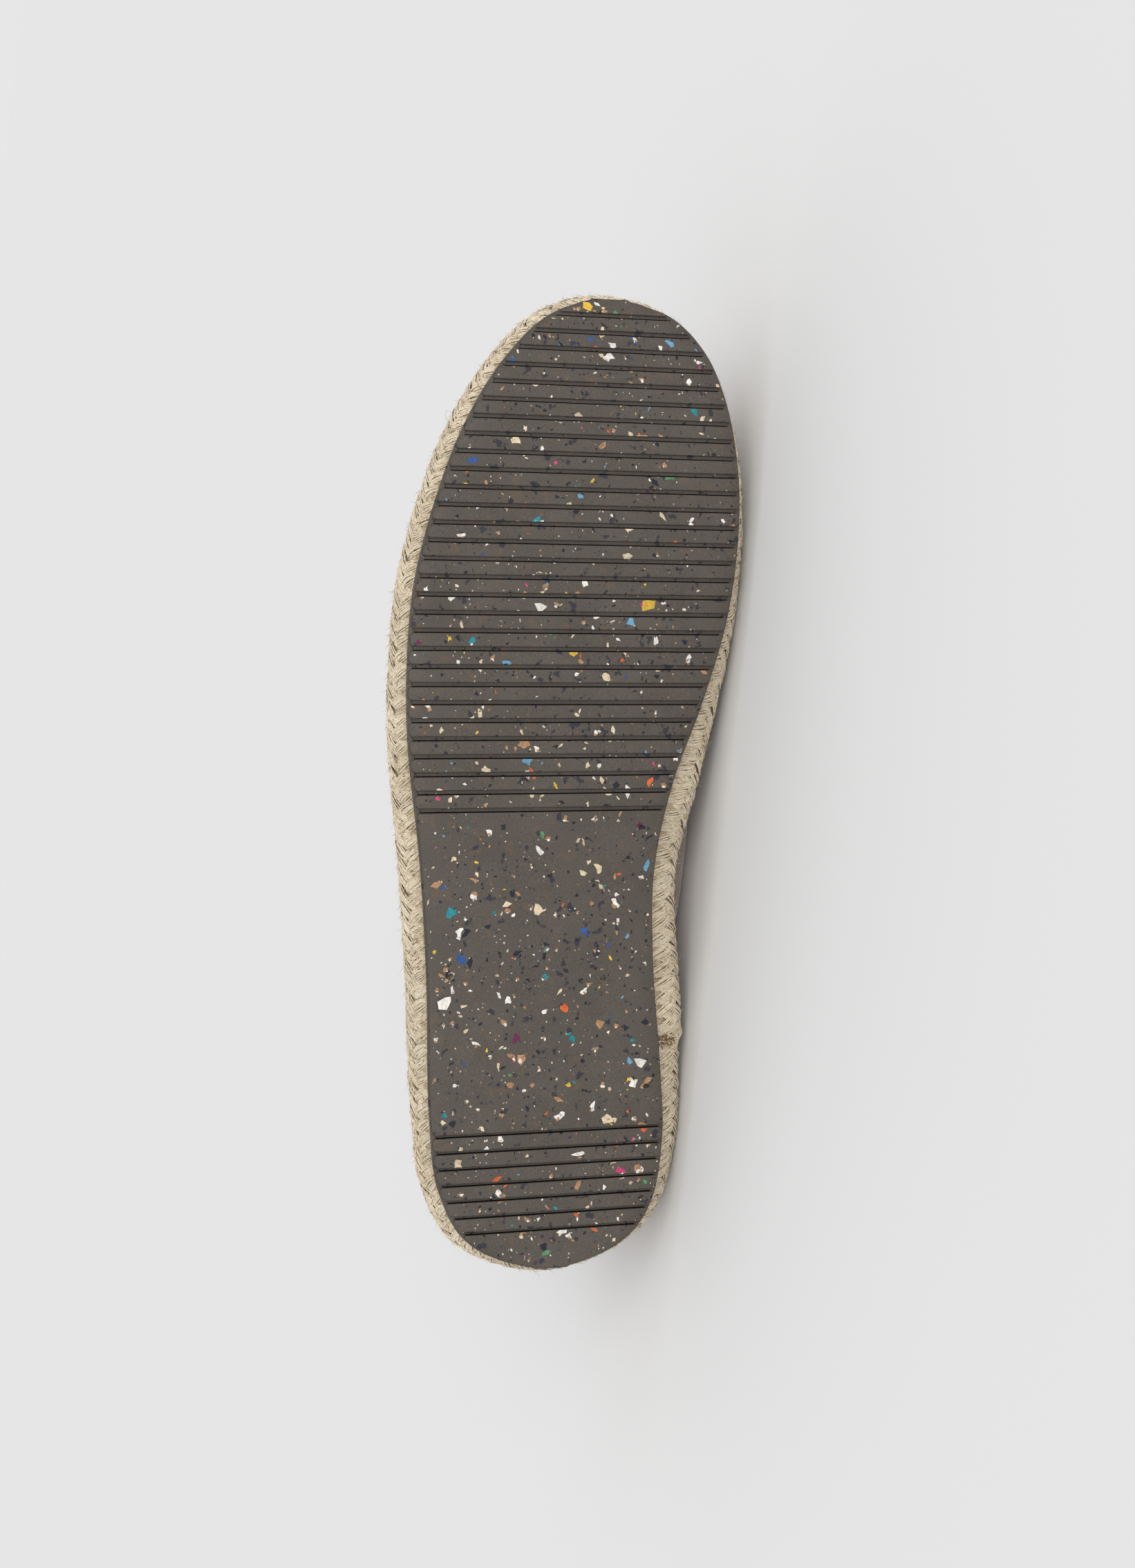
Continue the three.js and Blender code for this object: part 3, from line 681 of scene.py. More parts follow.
def outsole_piece():
    stations, slits = outsole_stations()
    sections = []
    for y, depth, draw in stations:
        outer, inner = rubber_sides(y)
        tread_outer, tread_inner = tread_sides(y)
        width = inner - outer
        rim = min(RIM_WIDTH, width / 4)
        room = width / 3.2
        left = max(tread_outer - outer, rim)
        right = max(inner - tread_inner, rim)
        wall = min(depth + 0.25, RIM_STEP - 0.03)
        halves = []
        for reach in (left, right):
            ends = min(reach + draw * BAR_END_SHARE, room)
            halves.append([
                (WALL_TAPER, RUBBER_THICKNESS),
                (0, RIM_STEP + 0.25),
                (0.05, RIM_STEP + 0.08),
                (0.15, RIM_STEP),
                (ends - 0.08, RIM_STEP - 0.02),
                (ends, wall),
                (ends + 0.07, (wall + depth) / 2 - 0.04),
                (ends + 0.25, depth),
                (min(ends + 6, room + 0.4), depth),
            ])
        row = [(outer + off, y, z + lift(y)) for off, z in halves[0]]
        row += [(inner - off, y, z + lift(y)) for off, z in reversed(halves[1])]
        sections.append(row)
    columns = len(sections[0])
    points = np.array(sections).reshape(-1, 3)
    faces = grid_faces(len(sections), columns)
    slots = []
    for (here, *_), (there, *_) in zip(stations, stations[1:]):
        middle = (here + there) / 2
        in_slit = any(low < middle < high for low, high in slits)
        in_groove = any(abs(middle - centre) < width / 2 - 0.05 for centre, width in GROOVES)
        # Slit faces take the painted shadow and groove floors take the painted groove shade.
        shade = 1 if in_slit else 2 if in_groove else 0
        slots += [shade if TREAD_COLUMN <= k < columns - 1 - TREAD_COLUMN else 0 for k in range(columns)]
    faces += [face[::-1] for face in end_faces(len(sections), columns)]
    slots += [0, 0]
    shades = [RUBBER, RUBBER_PAINTED_SLIT_SHADOW, RUBBER_PAINTED_GROOVE_SHADE]
    piece = new_object("outsole_tread", points, faces, shades, slots, smooth_angle=50)
    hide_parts("outsole")


# Colour chips

# Colours of the chips: share of the mix, red, green and blue
CHIP_COLORS = {
    "white": (24, 238, 234, 226), "cream": (20, 222, 204, 172), "tan": (19, 176, 134, 96),
    "night": (18, 22, 26, 42), "orange": (4, 214, 98, 42), "yellow": (3, 226, 186, 58),
    "blue": (3, 40, 84, 160), "sky": (2, 104, 158, 190), "teal": (3, 22, 138, 150),
    "green": (2, 92, 150, 102), "pink": (1, 222, 64, 128), "plum": (1, 110, 30, 74),
}

# Larger chips, given one by one: along, across, size in millimetres, colour
PLACED_CHIPS = [
    (282, 14, 1.6, "yellow"), (283, 17, 1.0, "white"), (270, 16, 1.2, "orange"), (271, 21, 1.3, "white"),
    (271, 36, 1.1, "white"), (252, 46, 1.4, "teal"), (236, -22, 1.4, "blue"), (229, -24, 1.0, "yellow"),
    (231, 14, 0.9, "yellow"), (220, 44, 1.1, "white"), (195, 30, 2.2, "yellow"), (194, -2, 2.2, "white"),
    (118, 30, 1.6, "sky"), (99, 11, 1.5, "blue"), (106, -29, 1.7, "teal"), (94, -1, 1.2, "green"),
    (86, -1, 1.3, "teal"), (80, -31, 2.2, "white"), (77, 5, 1.5, "orange"), (47, -31, 1.4, "teal"),
    (44, 18, 2.4, "cream"), (42, 19, 1.0, "yellow"), (40, 29, 1.2, "orange"), (28, 22, 1.6, "pink"),
    (24, 30, 1.0, "green"), (11, 14, 1.2, "orange"), (143, 31, 1.4, "orange"), (150, 39, 1.6, "white"),
    (140, 24, 1.6, "white"), (130, 28, 1.6, "plum"), (114, -33, 2.0, "tan"), (115, -22, 1.4, "tan"),
    (113, -31, 1.1, "blue"), (65, 26, 1.0, "white"), (60, 28, 1.7, "white"), (54, 30, 2.0, "tan"),
]
CHIP_COUNT = 720
CRUMB_COUNT = 1000
CHIP_PROUD = 0.035
CHIP_ROOT = 0.25
CHIP_MARGIN = 0.5
CHIP_REACH = 3
LEAST_CHIP_AREA = 0.02
BAND_MARGIN = 0.12
END_MARGIN = 0.6
TWO_TONE_SHARE = 0.6


def tread_bands():
    """Stretches along the shoe where the rubber meets the ground."""
    edges = [RIM_WIDTH + END_MARGIN]
    for centre, width in GROOVES:
        edges += [centre - width / 2 - BAND_MARGIN, centre + width / 2 + BAND_MARGIN]
    edges.append(SOLE_LENGTH - RIM_WIDTH - END_MARGIN)
    return list(zip(edges[0::2], edges[1::2]))


def clip_polygon(corners, limit, keep_above):
    """Part of a flat polygon on one side of a line across the shoe."""
    kept = []
    for (ax, ay), (bx, by) in zip(corners, corners[1:] + corners[:1]):
        a_in = (ay >= limit) == keep_above
        b_in = (by >= limit) == keep_above
        if a_in:
            kept.append((ax, ay))
        if a_in != b_in:
            share = (limit - ay) / (by - ay)
            kept.append((ax + share * (bx - ax), limit))
    return kept


def chip_corners(dice, x, y, size):
    """Corners of an irregular chip."""
    count = dice.choice((4, 5, 6, 7, 8, 9))
    stretch = dice.uniform(0.3, 0.95)
    turn = dice.uniform(0, TAU)
    cos, sin = math.cos(turn), math.sin(turn)
    corners = []
    for k in range(count):
        angle = TAU * (k + dice.uniform(-0.25, 0.25)) / count
        reach = size * dice.uniform(0.4, 1.4)
        a, b = reach * math.cos(angle), reach * stretch * math.sin(angle)
        corners.append((x + a * cos - b * sin, y + a * sin + b * cos))
    return corners


def chips_piece():
    dice = random.Random(7)
    bands = tread_bands()
    names = list(CHIP_COLORS)
    weights = [row[0] for row in CHIP_COLORS.values()]
    points, faces, colors = [], [], []

    def add(x, y, size, name, proud=CHIP_PROUD):
        corners = chip_corners(dice, x, y, size)
        left, right = tread_sides(y)
        across = [corner[0] for corner in corners]
        if min(across) < left + CHIP_MARGIN or max(across) > right - CHIP_MARGIN:
            return
        shade = dice.uniform(0.8, 1.05)
        tint = tuple(min(part * shade, 1) for part in srgb(*CHIP_COLORS[name][1:])[:3]) + (1.0,)
        for low, high in bands:
            if low >= y + CHIP_REACH or high <= y - CHIP_REACH:
                continue
            kept = clip_polygon(clip_polygon(corners, low, True), high, False)
            area = sum(a[0] * b[1] - b[0] * a[1] for a, b in zip(kept, kept[1:] + kept[:1])) / 2
            if len(kept) < 3 or area < LEAST_CHIP_AREA:
                continue
            start, count = len(points), len(kept)
            points.extend((px, py, lift(py) - proud) for px, py in kept)
            points.extend((px, py, lift(py) + CHIP_ROOT) for px, py in kept)
            faces.extend(face[::-1] for face in end_faces(2, count, start))
            faces.extend(grid_faces(2, count, start=start))
            colors.extend([tint] * (2 * count))

    for y, x, size, name in PLACED_CHIPS:
        add(x, y, size * 1.05, name)
    for number in range(CHIP_COUNT + CRUMB_COUNT):
        y = dice.uniform(3, SOLE_LENGTH - 3)
        x = dice.uniform(*tread_sides(y))
        crumb = number >= CHIP_COUNT
        size = dice.uniform(0.14, 0.36) if crumb else min(0.48 * math.exp(abs(dice.gauss(0, 0.62))), 1.7)
        name = dice.choices(names, weights)[0]
        add(x, y, size, name)
        if not crumb and name in ("tan", "white") and dice.random() < TWO_TONE_SHARE:
            other = "white" if name == "tan" else "tan"
            add(x + dice.uniform(-0.3, 0.3), y - 0.5 * size, size * 0.5, other, 2 * CHIP_PROUD)
    piece = new_object("outsole_chips", np.array(points), faces, [CHIP], smooth_angle=20)
    layer = piece.data.color_attributes.new("chip_color", "FLOAT_COLOR", "POINT")
    layer.data.foreach_set("color", np.array(colors, np.float32).ravel())


# Jute

# A leaf is a short bundle of yarns; heights are from the middle of the braid's side
LEAVES = round(PERIMETER / 4.4)
LEAF_YARNS = 9
LEAF_WIDTH = 3.5
LEAF_SLOPE = 0.95
LEAF_EDGE = 6.7
LEAF_PAST_MIDDLE = 1.5
LEAF_VALLEY = 0.6
LEAF_CROWN = 0.95
LEAF_ROUNDNESS = 1.6
LEAF_TIP = 0.35
LEAF_HEIGHTS = (-6.9, 6.7)
LEAF_STEPS = 9
PLAIT_MIDDLE = -4.0
YARN_RADIUS = 0.26
YARN_FLATNESS = 0.8
JOIN_ALONG = 65.0
JOIN_HEIGHT = -5.0
JOIN_SWELL = 1.1
JOIN_BEFORE = 1.5
JOIN_RISE = 2.0
JOIN_REACH = 34.0
JOIN_FADE = 26.0


def join_swell(turn):
    """The braid's end lies over its start: it stands out on the toe side of the join, then fades."""
    join = turn_beside(JOIN_ALONG, True)
    toward_toe = (join - turn) * 2 * INNER_RUN
    rise = np.clip((toward_toe + JOIN_BEFORE) / JOIN_RISE, 0, 1)
    return JOIN_SWELL * rise * np.clip((JOIN_REACH - toward_toe) / JOIN_FADE, 0, 1)


def braid_point(run, height_mm, depth):
    """Point on the braid: run along it, height from its middle and depth under its skin."""
    turn = turn_at_run(run)
    height = 0.5 + height_mm / BRAID_HEIGHT
    distance = braid_distance(height, edge(turn)[2]) + join_swell(turn) - depth
    return off_edge(turn, distance, JUTE_BOTTOM + height * BRAID_HEIGHT)


def braid_outward(run, height_mm):
    near = braid_point(run, height_mm, 0)
    along = braid_point(run + 0.5, height_mm, 0) - near
    upward = braid_point(run, height_mm + 0.5, 0) - near
    out = np.cross(upward, along)
    return out / np.linalg.norm(out, axis=1, keepdims=True)


def leaf_paths(side):
    """Yarns of the plait's leaves on one side of its middle: 1 by the upper, -1 by the rubber.

    Each leaf runs from the braid's edge back to its middle, fullest halfway, and dips under the next."""
    dice = np.random.default_rng(20 + side)
    share = np.linspace(0, 1, LEAF_STEPS)
    fullness = np.sin(math.pi * share) ** 0.7
    climb = LEAF_EDGE - side * PLAIT_MIDDLE + LEAF_PAST_MIDDLE
    slant = math.hypot(LEAF_SLOPE, 1)
    pitch = PERIMETER / LEAVES
    paths = []
    for leaf in range(LEAVES):
        start = (leaf + 0.25 * side) * pitch + dice.normal(0, 0.3)
        spin = dice.normal(0, 0.35)
        reach = LEAF_SLOPE * climb + dice.normal(0, 0.4)
        for yarn in range(LEAF_YARNS):
            place = (yarn + 0.5) / LEAF_YARNS - 0.5
            width = LEAF_TIP + (1 - LEAF_TIP) * fullness
            aside = (place * LEAF_WIDTH + dice.normal(0, 0.1)) * width + spin * place * share
            run = start - reach * share + side * aside / slant
            height = side * (LEAF_EDGE - climb * share) - LEAF_SLOPE * aside / slant
            height = np.clip(height, *LEAF_HEIGHTS)
            crown = fullness * (1 - LEAF_ROUNDNESS * place * place) + dice.normal(0, 0.12)
            path = braid_point(run, height, LEAF_VALLEY - LEAF_CROWN * crown)
            paths.append((path, YARN_RADIUS * dice.uniform(0.8, 1.15), braid_outward(run, height)))
    return paths


def jute_threads(name, paths, sides, material, **shape):
    """A piece of jute threads along paths."""
    points, faces, uvs = tubes(paths, sides, **shape)
    piece = new_object(name, points, faces, [material], smooth_angle=180, uvs=uvs)


def braid_pieces():
    for side, name in ((-1, "jute_braid_rubber_side"), (1, "jute_braid_upper_side")):
        jute_threads(name, leaf_paths(side), 5, JUTE, flat=YARN_FLATNESS)


# Core of the midsole: share of the braid's height, depth under the braid's skin
CORE_LEVELS = [
    (0, 1.0), (0.04, 0.4), (0.12, 0.45), (0.25, 0.6), (0.5, 0.8), (0.75, 0.7),
    (0.9, 0.5), (0.97, 0.4), (1, 0.9),
]
CORE_COLUMNS = 360
CORE_THREAD = (0.5, 1.5)


def core_piece():
    """Body of the midsole behind the braid."""
    turns = np.linspace(0, 1, CORE_COLUMNS, endpoint=False)
    flare = edge(turns)[2]
    rings = []
    for height, inset in CORE_LEVELS:
        distance = braid_distance(height, flare) - inset
        rings.append(off_edge(turns, distance, JUTE_BOTTOM + height * BRAID_HEIGHT))
    points, faces = lidded_rings(rings)
    piece = new_object("midsole_core", points, faces, [JUTE_CORE], uvs=points[:, :2] * CORE_THREAD)
    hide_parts("midsole")


FUZZ_COUNT = 3400
TICK_COUNT = 1500
FIBRE_DEPTH = -0.36
FIBRE_EDGES = (-6.2, 6.0)
EDGE_SPREAD = 0.8
FIELD_SPREAD = 5.5
HAIR_STEPS = 6
CURL_ALONG = 246.0
CURL_HEIGHT = -4.0


def hair(dice, start, away, length, curl):
    """A loose fibre that bends as it goes."""
    heading = np.array(away, float)
    heading /= np.linalg.norm(heading)
    bend = np.array([dice.gauss(0, 1) for _ in range(3)]) * curl
    path = [np.array(start, float)]
    for _ in range(HAIR_STEPS - 1):
        path.append(path[-1] + heading * length / (HAIR_STEPS - 1))
        heading = heading + bend / HAIR_STEPS
        heading /= np.linalg.norm(heading)
    return np.array(path)


def fibre_paths(dice, count, lengths, radii, lift_off, edge_share):
    """Fibres over the braid that follow its leaves; edge_share of them stand along its two edges."""
    paths = []
    for _ in range(count):
        run = dice.uniform(0, PERIMETER)
        by_edge = dice.random() < edge_share
        if by_edge:
            height = dice.choice(FIBRE_EDGES) + dice.uniform(-EDGE_SPREAD, EDGE_SPREAD)
        else:
            height = dice.uniform(-FIELD_SPREAD, FIELD_SPREAD)
        place = np.array([run])
        tall = np.array([height])
        start = braid_point(place, tall, FIBRE_DEPTH)[0]
        out = braid_outward(place, tall)[0]
        along = braid_point(place + 1, tall, 0)[0] - braid_point(place, tall, 0)[0]
        across = braid_point(place, tall + 1, 0)[0] - braid_point(place, tall, 0)[0]
        side = 1 if height > PLAIT_MIDDLE else -1
        slant = dice.gauss(0, 0.9 if by_edge else 0.3)
        away = along * -(1 - slant) - across * side * (1 + slant) + out * dice.uniform(*lift_off)
        if dice.random() < 0.5:
            away = out * 0.1 - away
        path = hair(dice, start, away, dice.uniform(*lengths), 0.6)
        paths.append((path, dice.uniform(*radii), np.tile(out, (len(path), 1)) + 0.01))
    return paths


def fuzz_piece():
    """Stray fibres over the braid, thickest along its two edges, and one long curl at the outer toe."""
    paths = fibre_paths(random.Random(11), FUZZ_COUNT, (1.6, 4.2), (0.05, 0.09), (0.05, 0.5), 0.4)
    curl_run = np.array([turn_beside(CURL_ALONG, False) * 2 * OUTER_RUN])
    curl_start = braid_point(curl_run, np.array([CURL_HEIGHT]), 0.2)[0]
    swing = np.linspace(0, 3.6, 22)
    across = -3.2 * np.sin(swing * 0.8)
    along = 4.2 * (1 - np.cos(swing)) - 1.5 * swing
    curl = curl_start + np.stack([across, along, -0.5 - 0.4 * swing], 1)
    paths.append((curl, 0.11, np.tile([0.0, 0.0, 1.0], (len(curl), 1))))
    jute_threads("jute_stray_fibres", paths, 3, JUTE, taper=True)


def ticks_piece():
    """Short brown bits of husk that lie among the yarns."""
    paths = fibre_paths(random.Random(12), TICK_COUNT, (0.9, 2.1), (0.08, 0.15), (-0.08, 0.05), 0.1)
    jute_threads("jute_husk_ticks", paths, 3, JUTE_BROWN, taper=True)


STUB_COUNT = 150
STUBS_LONG = 1.5
STUBS_TALL = 1.3
END_LOOPS = 9
LOOP_LIMIT = 6.6


def braid_end_piece():
    """Cut end of the braid, tucked in on the inner side near the heel: brown stubs under loops of yarn."""
    dice = random.Random(5)
    join_run = OUTER_RUN + (turn_beside(JOIN_ALONG, True) - 0.5) * 2 * INNER_RUN
    brown, pale = [], []
    for number in range(STUB_COUNT):
        angle = dice.uniform(0, TAU)
        reach = math.sqrt(dice.random())
        place = np.array([join_run + STUBS_LONG * reach * math.cos(angle)])
        tall = np.array([JOIN_HEIGHT + STUBS_TALL * reach * math.sin(angle)])
        out = braid_outward(place, tall)[0]
        start = braid_point(place, tall, 0.9)[0]
        away = out + np.array([dice.gauss(0, 0.35) for _ in range(3)])
        path = hair(dice, start, away, dice.uniform(1.4, 2.3), 0.5)
        kind = pale if number % 3 == 0 else brown
        kind.append((path, dice.uniform(0.1, 0.18), np.tile([0.1, 0.2, 1.0], (len(path), 1))))
    jute_threads("jute_cut_end", brown, 5, JUTE_BROWN)
    for number in range(END_LOOPS):
        wide, tall = 1.9 + 0.34 * number, 1.9 + 0.95 * number
        sweep = np.linspace(-0.1 * math.pi, 1.12 * math.pi, 34)
        place = join_run + wide * np.cos(sweep)
        height = np.clip(JOIN_HEIGHT + tall * np.sin(sweep), -LOOP_LIMIT, LOOP_LIMIT)
        depth = 0.55 - 1.1 * np.sin(math.pi * (number + 0.5) / END_LOOPS) + 0.5 * np.cos(sweep) ** 2
        path = braid_point(place, height, depth)
        pale.append((path, YARN_RADIUS, braid_outward(place, height)))
    jute_threads("jute_end_wrap", pale, 8, JUTE)


# Upper

RIBS = 192
RINGS = 44
SEAM_POSITIONS = (4.35, 11.65)


def upper_row(position):
    """One row of the upper's table, smoothed between its rows."""
    count = len(UPPER_ROWS)
    base = int(math.floor(position))
    share = position - base

    def values(step):
        turn, along, across, height, unit, bulge, rise, reach, drop = UPPER_ROWS[(base + step) % count]
        turn += (base + step) // count
        return np.array([turn, along, across, height * unit, bulge, rise * unit, reach, drop * unit])

    a, b, c, d = (values(step) for step in (-1, 0, 1, 2))
    return hermite(b, c, (c - a) / 2, (d - b) / 2, share)


def upper_rib(position, shares):
    """Points of one rib of the upper, from the sole at 0 to the collar at 1."""
    turn, along, across, height, bulge, rise, reach, drop = upper_row(position)
    _, _, flare, out_x, out_y = (float(v) for v in edge(turn))
    foot = off_edge(turn, flare - FEATHER_TUCK, UPPER_BOTTOM)
    out = np.array([out_x, out_y, 0.0])
    up = np.array([0.0, 0.0, 1.0])
    collar = np.array([across * BALL_WIDTH, along * SOLE_LENGTH, JUTE_TOP + height])
    leave = foot + out * bulge * BALL_WIDTH + up * rise
    arrive = collar + out * reach * BALL_WIDTH - up * drop
    t = np.asarray(shares)[:, None]
    s = 1 - t
    return foot * s ** 3 + 3 * leave * s * s * t + 3 * arrive * s * t * t + collar * t ** 3


def upper_surface(positions, shares, off=0.0):
    """Grid of points of the upper's outside, moved off it by a distance; off may be a grid."""
    grid = np.array([upper_rib(p, shares) for p in positions])
    step = 0.02
    around = np.array([upper_rib(p + step, shares) - upper_rib(p - step, shares) for p in positions])
    above, below = (np.clip(np.asarray(shares) + shift, 0, 1.0) for shift in (0.01, -0.01))
    upward = np.array([upper_rib(p, above) - upper_rib(p, below) for p in positions])
    normal = np.cross(upward, around)
    normal /= np.linalg.norm(normal, axis=2, keepdims=True)
    return grid + normal * np.asarray(off)[..., None] if np.ndim(off) else grid + normal * off, normal


# Soft creases over the ball: along, across, half length, width and depth in millimetres
CREASES = [
    (214, 4, 34, 3.2, 0.8), (205, 10, 30, 3.0, 0.7),
    (223, 8, 26, 2.6, 0.45), (197, 26, 18, 2.8, 0.5),
]
SMOOTH_FOOT = 6


def relief(points):
    """Creases and the slight unevenness of the suede."""
    x, y = points[..., 0], points[..., 1]
    depth = np.zeros(x.shape)
    for along, across, half, width, deep in CREASES:
        bend = along - 0.004 * (x - across) ** 2
        fade = np.exp(-((x - across) / half) ** 2)
        trough = np.exp(-((y - bend) / width) ** 2)
        ridge = np.exp(-((y - bend - 2 * width) / (1.3 * width)) ** 2)
        depth += deep * fade * (0.45 * ridge - trough)
    depth += 0.22 * np.sin(x / 11.0 + 1.3) * np.sin(y / 17.0) + 0.12 * np.sin(x / 5.1 + y / 7.3)
    top = points[..., 2] > UPPER_BOTTOM + SMOOTH_FOOT
    return np.where(top, depth, depth * 0.2)


def upper_piece():
    positions = np.arange(RIBS) * len(UPPER_ROWS) / RIBS
    t = np.linspace(0, 1, RINGS)
    shares = t * 0.65 + 0.35 * t * t * (3 - 2 * t)
    plain, normal = upper_surface(positions, shares)
    outer = plain + normal * relief(plain)[..., None]
    inner = plain - normal * UPPER_WALL
    foot = inner[:, 0]
    level = normal[:, 0] * (1, 1, 0)
    foot[:] = plain[:, 0] - level / np.linalg.norm(level, axis=1, keepdims=True) * UPPER_WALL
    foot[:, 2] = UPPER_BOTTOM + lift(foot[:, 1])
    points = np.concatenate([wall.transpose(1, 0, 2).reshape(-1, 3) for wall in (outer, inner)])
    outside = grid_faces(RINGS, RIBS, flip=True)
    inside = grid_faces(RINGS, RIBS, start=RINGS * RIBS)
    rims = []
    for c in range(RIBS):
        d = (c + 1) % RIBS
        low, high = RINGS * RIBS, (RINGS - 1) * RIBS
        rims.append((c, d, low + d, low + c))
        rims.append((high + d, high + c, low + high + c, low + high + d))
    slots = [0] * len(outside) + [1] * len(inside) + [0] * len(rims)
    faces = outside + inside + rims
    piece = new_object("upper_suede", points, faces, [SUEDE, LINING], slots, smooth_angle=60)
    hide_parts("upper")


# Outside of the binding: distance below the collar, distance off the suede
BINDING_PROFILE = [(7.0, 0.05), (6.7, 0.55), (5.0, 0.75), (3.0, 0.8), (1.4, 0.8), (0.4, 0.7), (0.0, 0.45)]
BINDING_SHOULDER = 0.45
BINDING_CREST = 0.95
BINDING_INSIDE = 0.9
BINDING_STITCH_DROP = 5.4
BINDING_STITCH_OFF = 0.72
COLLAR_SAMPLES = 400


def share_below_collar(position, drop):
    """Share along a rib of the upper at a distance below the collar."""
    shares = np.linspace(0, 1, 60)
    runs = run_along(upper_rib(position, shares))
    return np.interp(runs[-1] - drop, runs, shares)


def binding_piece():
    """Leather binding folded over the collar."""
    positions = np.arange(RIBS) * len(UPPER_ROWS) / RIBS
    drops, outs = np.array(BINDING_PROFILE).T
    rows = []
    for p in positions:
        line, normal = upper_surface([p], share_below_collar(p, drops))
        line, normal = line[0], normal[0]
        up = line[-1] - line[-2]
        up /= np.linalg.norm(up)
        outside = line + normal * outs[:, None]
        inside = line - normal * (UPPER_WALL + outs[:, None] * BINDING_INSIDE)
        top = line[-1] - normal[-1] * UPPER_WALL / 2 + up * BINDING_CREST
        crest = [outside[-1] + up * BINDING_SHOULDER, top, inside[-1] + up * BINDING_SHOULDER]
        rows.append(np.concatenate([outside, crest, inside[::-1]]))
    columns = len(rows[0])
    points = np.concatenate(rows)
    faces = grid_faces(RIBS, columns, loop_rows=True, loop_columns=False)
    back = []
    for r in range(RIBS):
        here, there = r * columns, (r + 1) % RIBS * columns
        back.append((there + columns - 1, here + columns - 1, here, there))
    piece = new_object("collar_binding", points, faces + back, [BINDING], smooth_angle=60)


STITCH_STEPS = 7
STITCH_RISE = 0.34
STITCH_DIP = 0.16


def stitch_row(path, outward, length=2.4, gap=1.0, radius=0.32):
    """Stitches along a path, each a short thread that dips into the leather at its ends."""
    runs = run_along(path)
    made = []
    for start in np.arange(0.6, runs[-1] - length, length + gap):
        t = np.linspace(0, 1, STITCH_STEPS)
        at = start + t * length
        spot = np.stack([np.interp(at, runs, path[:, k]) for k in range(3)], 1)
        out = np.stack([np.interp(at, runs, outward[:, k]) for k in range(3)], 1)
        out /= np.linalg.norm(out, axis=1, keepdims=True)
        made.append((spot + out * (np.sin(t * math.pi) * STITCH_RISE - STITCH_DIP)[:, None], radius, out))
    return made


# Side seam: distance along the rows of the upper, distance off the suede
SEAM_PROFILE = [
    (-0.055, -0.1), (-0.05, 0.16), (-0.035, 0.26), (0.0, 0.28),
    (0.035, 0.26), (0.05, 0.16), (0.055, -0.1),
]
SEAM_TOP = 0.955
SEAM_RELIEF = 0.8
SEAM_STITCHES = (-0.033, 0.033)
SEAM_STITCH_OFF = 0.28


def seam_strip(position, name):
    """Side seam: a narrow suede strip from the sole to the collar. Returns its two rows of stitches."""
    shares = np.linspace(0.0, SEAM_TOP, 60)
    columns = []
    for aside, off in SEAM_PROFILE:
        grid, normal = upper_surface([position + aside], shares, off)
        columns.append(grid[0] + normal[0] * relief(grid[0])[:, None] * SEAM_RELIEF)
    count = len(columns)
    points = np.stack(columns, 1).reshape(-1, 3)
    faces = grid_faces(len(shares), count)
    faces += end_faces(len(shares), count)
    piece = new_object(name, points, faces, [SUEDE], smooth_angle=60)
    rows = []
    for aside in SEAM_STITCHES:
        line, normal = upper_surface([position + aside], shares, SEAM_STITCH_OFF)
        rows += stitch_row(line[0], normal[0])
    return rows


def stitches_piece(rows):
    """The seams' rows of stitches and one along the collar's binding."""
    line, outs = [], []
    for p in np.linspace(0, len(UPPER_ROWS), COLLAR_SAMPLES):
        share = share_below_collar(p, BINDING_STITCH_DROP)
        spot, normal = upper_surface([p], [share], BINDING_STITCH_OFF)
        line.append(spot[0][0])
        outs.append(normal[0][0])
    rows = rows + stitch_row(np.array(line), np.array(outs), 2.2, 0.9, 0.28)
    points, faces, uvs = tubes(rows, 6)
    piece = new_object("upper_stitches", points, faces, [STITCH], smooth_angle=180, uvs=uvs)


# Edge of the sock: how far it draws in, height
SOCK_LEVELS = [
    (0.4, 0),
    (0, 0.5),
    (0, INSOLE_THICKNESS - 0.8),
    (0.3, INSOLE_THICKNESS - 0.25),
    (1.0, INSOLE_THICKNESS),
]
SOCK_COLUMNS = 300


def insole_piece():
    """Sock with a soft rounded edge."""
    turns = np.linspace(0, 1, SOCK_COLUMNS, endpoint=False)
    flare = edge(turns)[2]
    inset = UPPER_WALL + 2 * GAP
    rings = [off_edge(turns, flare - FEATHER_TUCK - inset - draw, UPPER_BOTTOM + height)
             for draw, height in SOCK_LEVELS]
    points, faces = lidded_rings(rings)
    piece = new_object("insole_sock", points, faces, [SOCK])
    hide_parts("insole")


# Floor, light and camera

# The photograph's viewpoint: tilt to the outer side and to the toe, distance, and the point it looks at
VIEW_TILT = math.radians(15.77)
VIEW_LEAN = math.radians(2.1)
VIEW_DISTANCE = 634.9
VIEW_CENTRE = (5.8, 142.4, 0.0)
VIEW_LENS = 50.0
WORLD_STRENGTH = 0.8
KEY_STRENGTH = 1.5
KEY_FROM = (0.22, -0.87, 0.45)
KEY_SPREAD = 50
FLOOR_REACH = 15.0


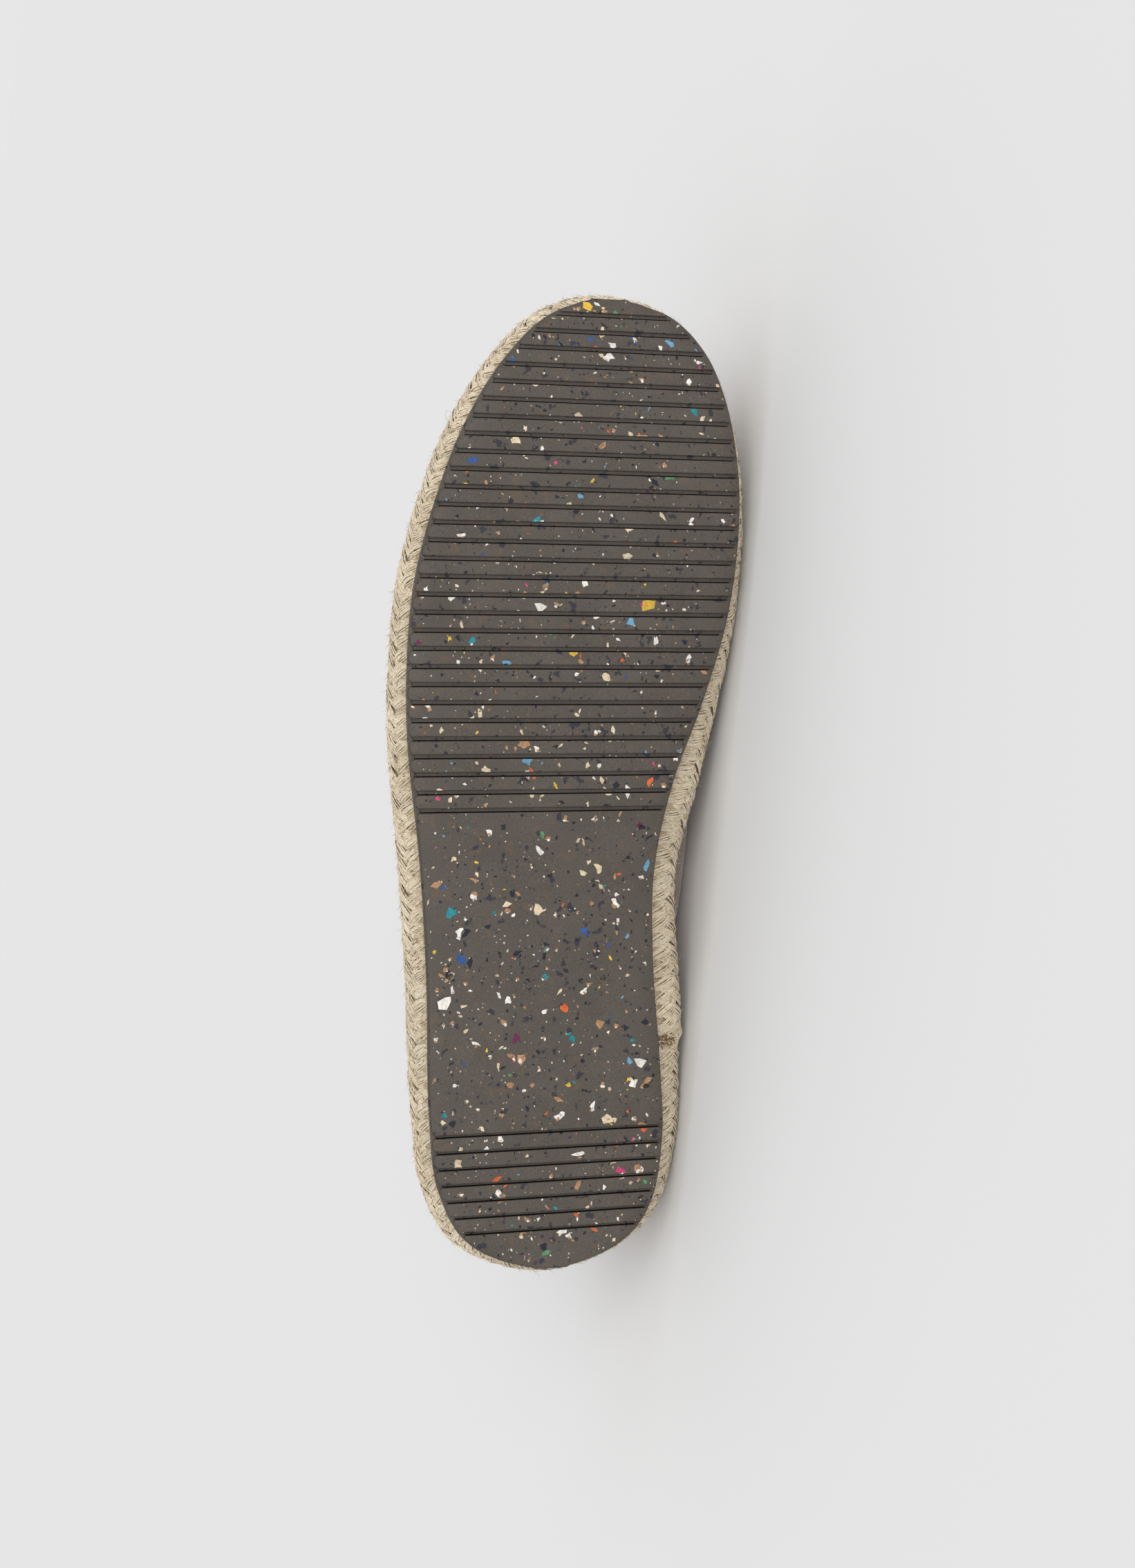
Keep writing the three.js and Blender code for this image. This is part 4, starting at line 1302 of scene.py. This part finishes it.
def floor_piece():
    mesh = bpy.data.meshes.new("floor")
    corners = [(x * FLOOR_REACH, y * FLOOR_REACH, 0) for x, y in ((-1, -1), (1, -1), (1, 1), (-1, 1))]
    mesh.from_pydata(corners, [], [(0, 1, 2, 3)])
    mesh.materials.append(floor_finish())
    floor = bpy.data.objects.new("floor", mesh)
    bpy.context.scene.collection.objects.link(floor)


def camera():
    level = np.array([math.sin(VIEW_TILT), 0.0, math.cos(VIEW_TILT)])
    toe = np.array([0.0, 1.0, 0.0])
    toward = level * math.cos(VIEW_LEAN) - toe * math.sin(VIEW_LEAN)
    upward = toe * math.cos(VIEW_LEAN) + level * math.sin(VIEW_LEAN)
    right = np.array([math.cos(VIEW_TILT), 0.0, -math.sin(VIEW_TILT)])
    eye = np.array(VIEW_CENTRE) - toward * VIEW_DISTANCE
    data = bpy.data.cameras.new("camera")
    data.lens = VIEW_LENS
    data.sensor_width = 36.0
    data.clip_start = 0.01
    data.clip_end = 100
    view = bpy.data.objects.new("camera", data)
    axes = [Vector(TURN @ axis) for axis in (right, upward, -toward)]
    turn = Matrix(axes).transposed().to_4x4()
    turn.translation = Vector(to_frame([eye])[0])
    view.matrix_world = turn
    bpy.context.scene.collection.objects.link(view)
    bpy.context.scene.camera = view


def lights():
    """An even pale room and one soft light from a direction of it."""
    world = bpy.data.worlds.new("studio")
    world.use_nodes = True
    background = world.node_tree.nodes["Background"]
    background.inputs["Color"].default_value = WHITE
    background.inputs["Strength"].default_value = WORLD_STRENGTH
    bpy.context.scene.world = world
    data = bpy.data.lights.new("key", "SUN")
    data.energy = KEY_STRENGTH
    data.angle = math.radians(KEY_SPREAD)
    light = bpy.data.objects.new("key", data)
    light.rotation_euler = Vector(KEY_FROM).to_track_quat("Z", "Y").to_euler()
    bpy.context.scene.collection.objects.link(light)


bpy.context.scene.view_settings.view_transform = "Standard"
outsole_piece()
chips_piece()
core_piece()
braid_pieces()
braid_end_piece()
fuzz_piece()
ticks_piece()
upper_piece()
binding_piece()
outer_stitches = seam_strip(SEAM_POSITIONS[0], "outer_side_seam")
inner_stitches = seam_strip(SEAM_POSITIONS[1], "inner_side_seam")
stitches_piece(outer_stitches + inner_stitches)
insole_piece()
floor_piece()
lights()
camera()
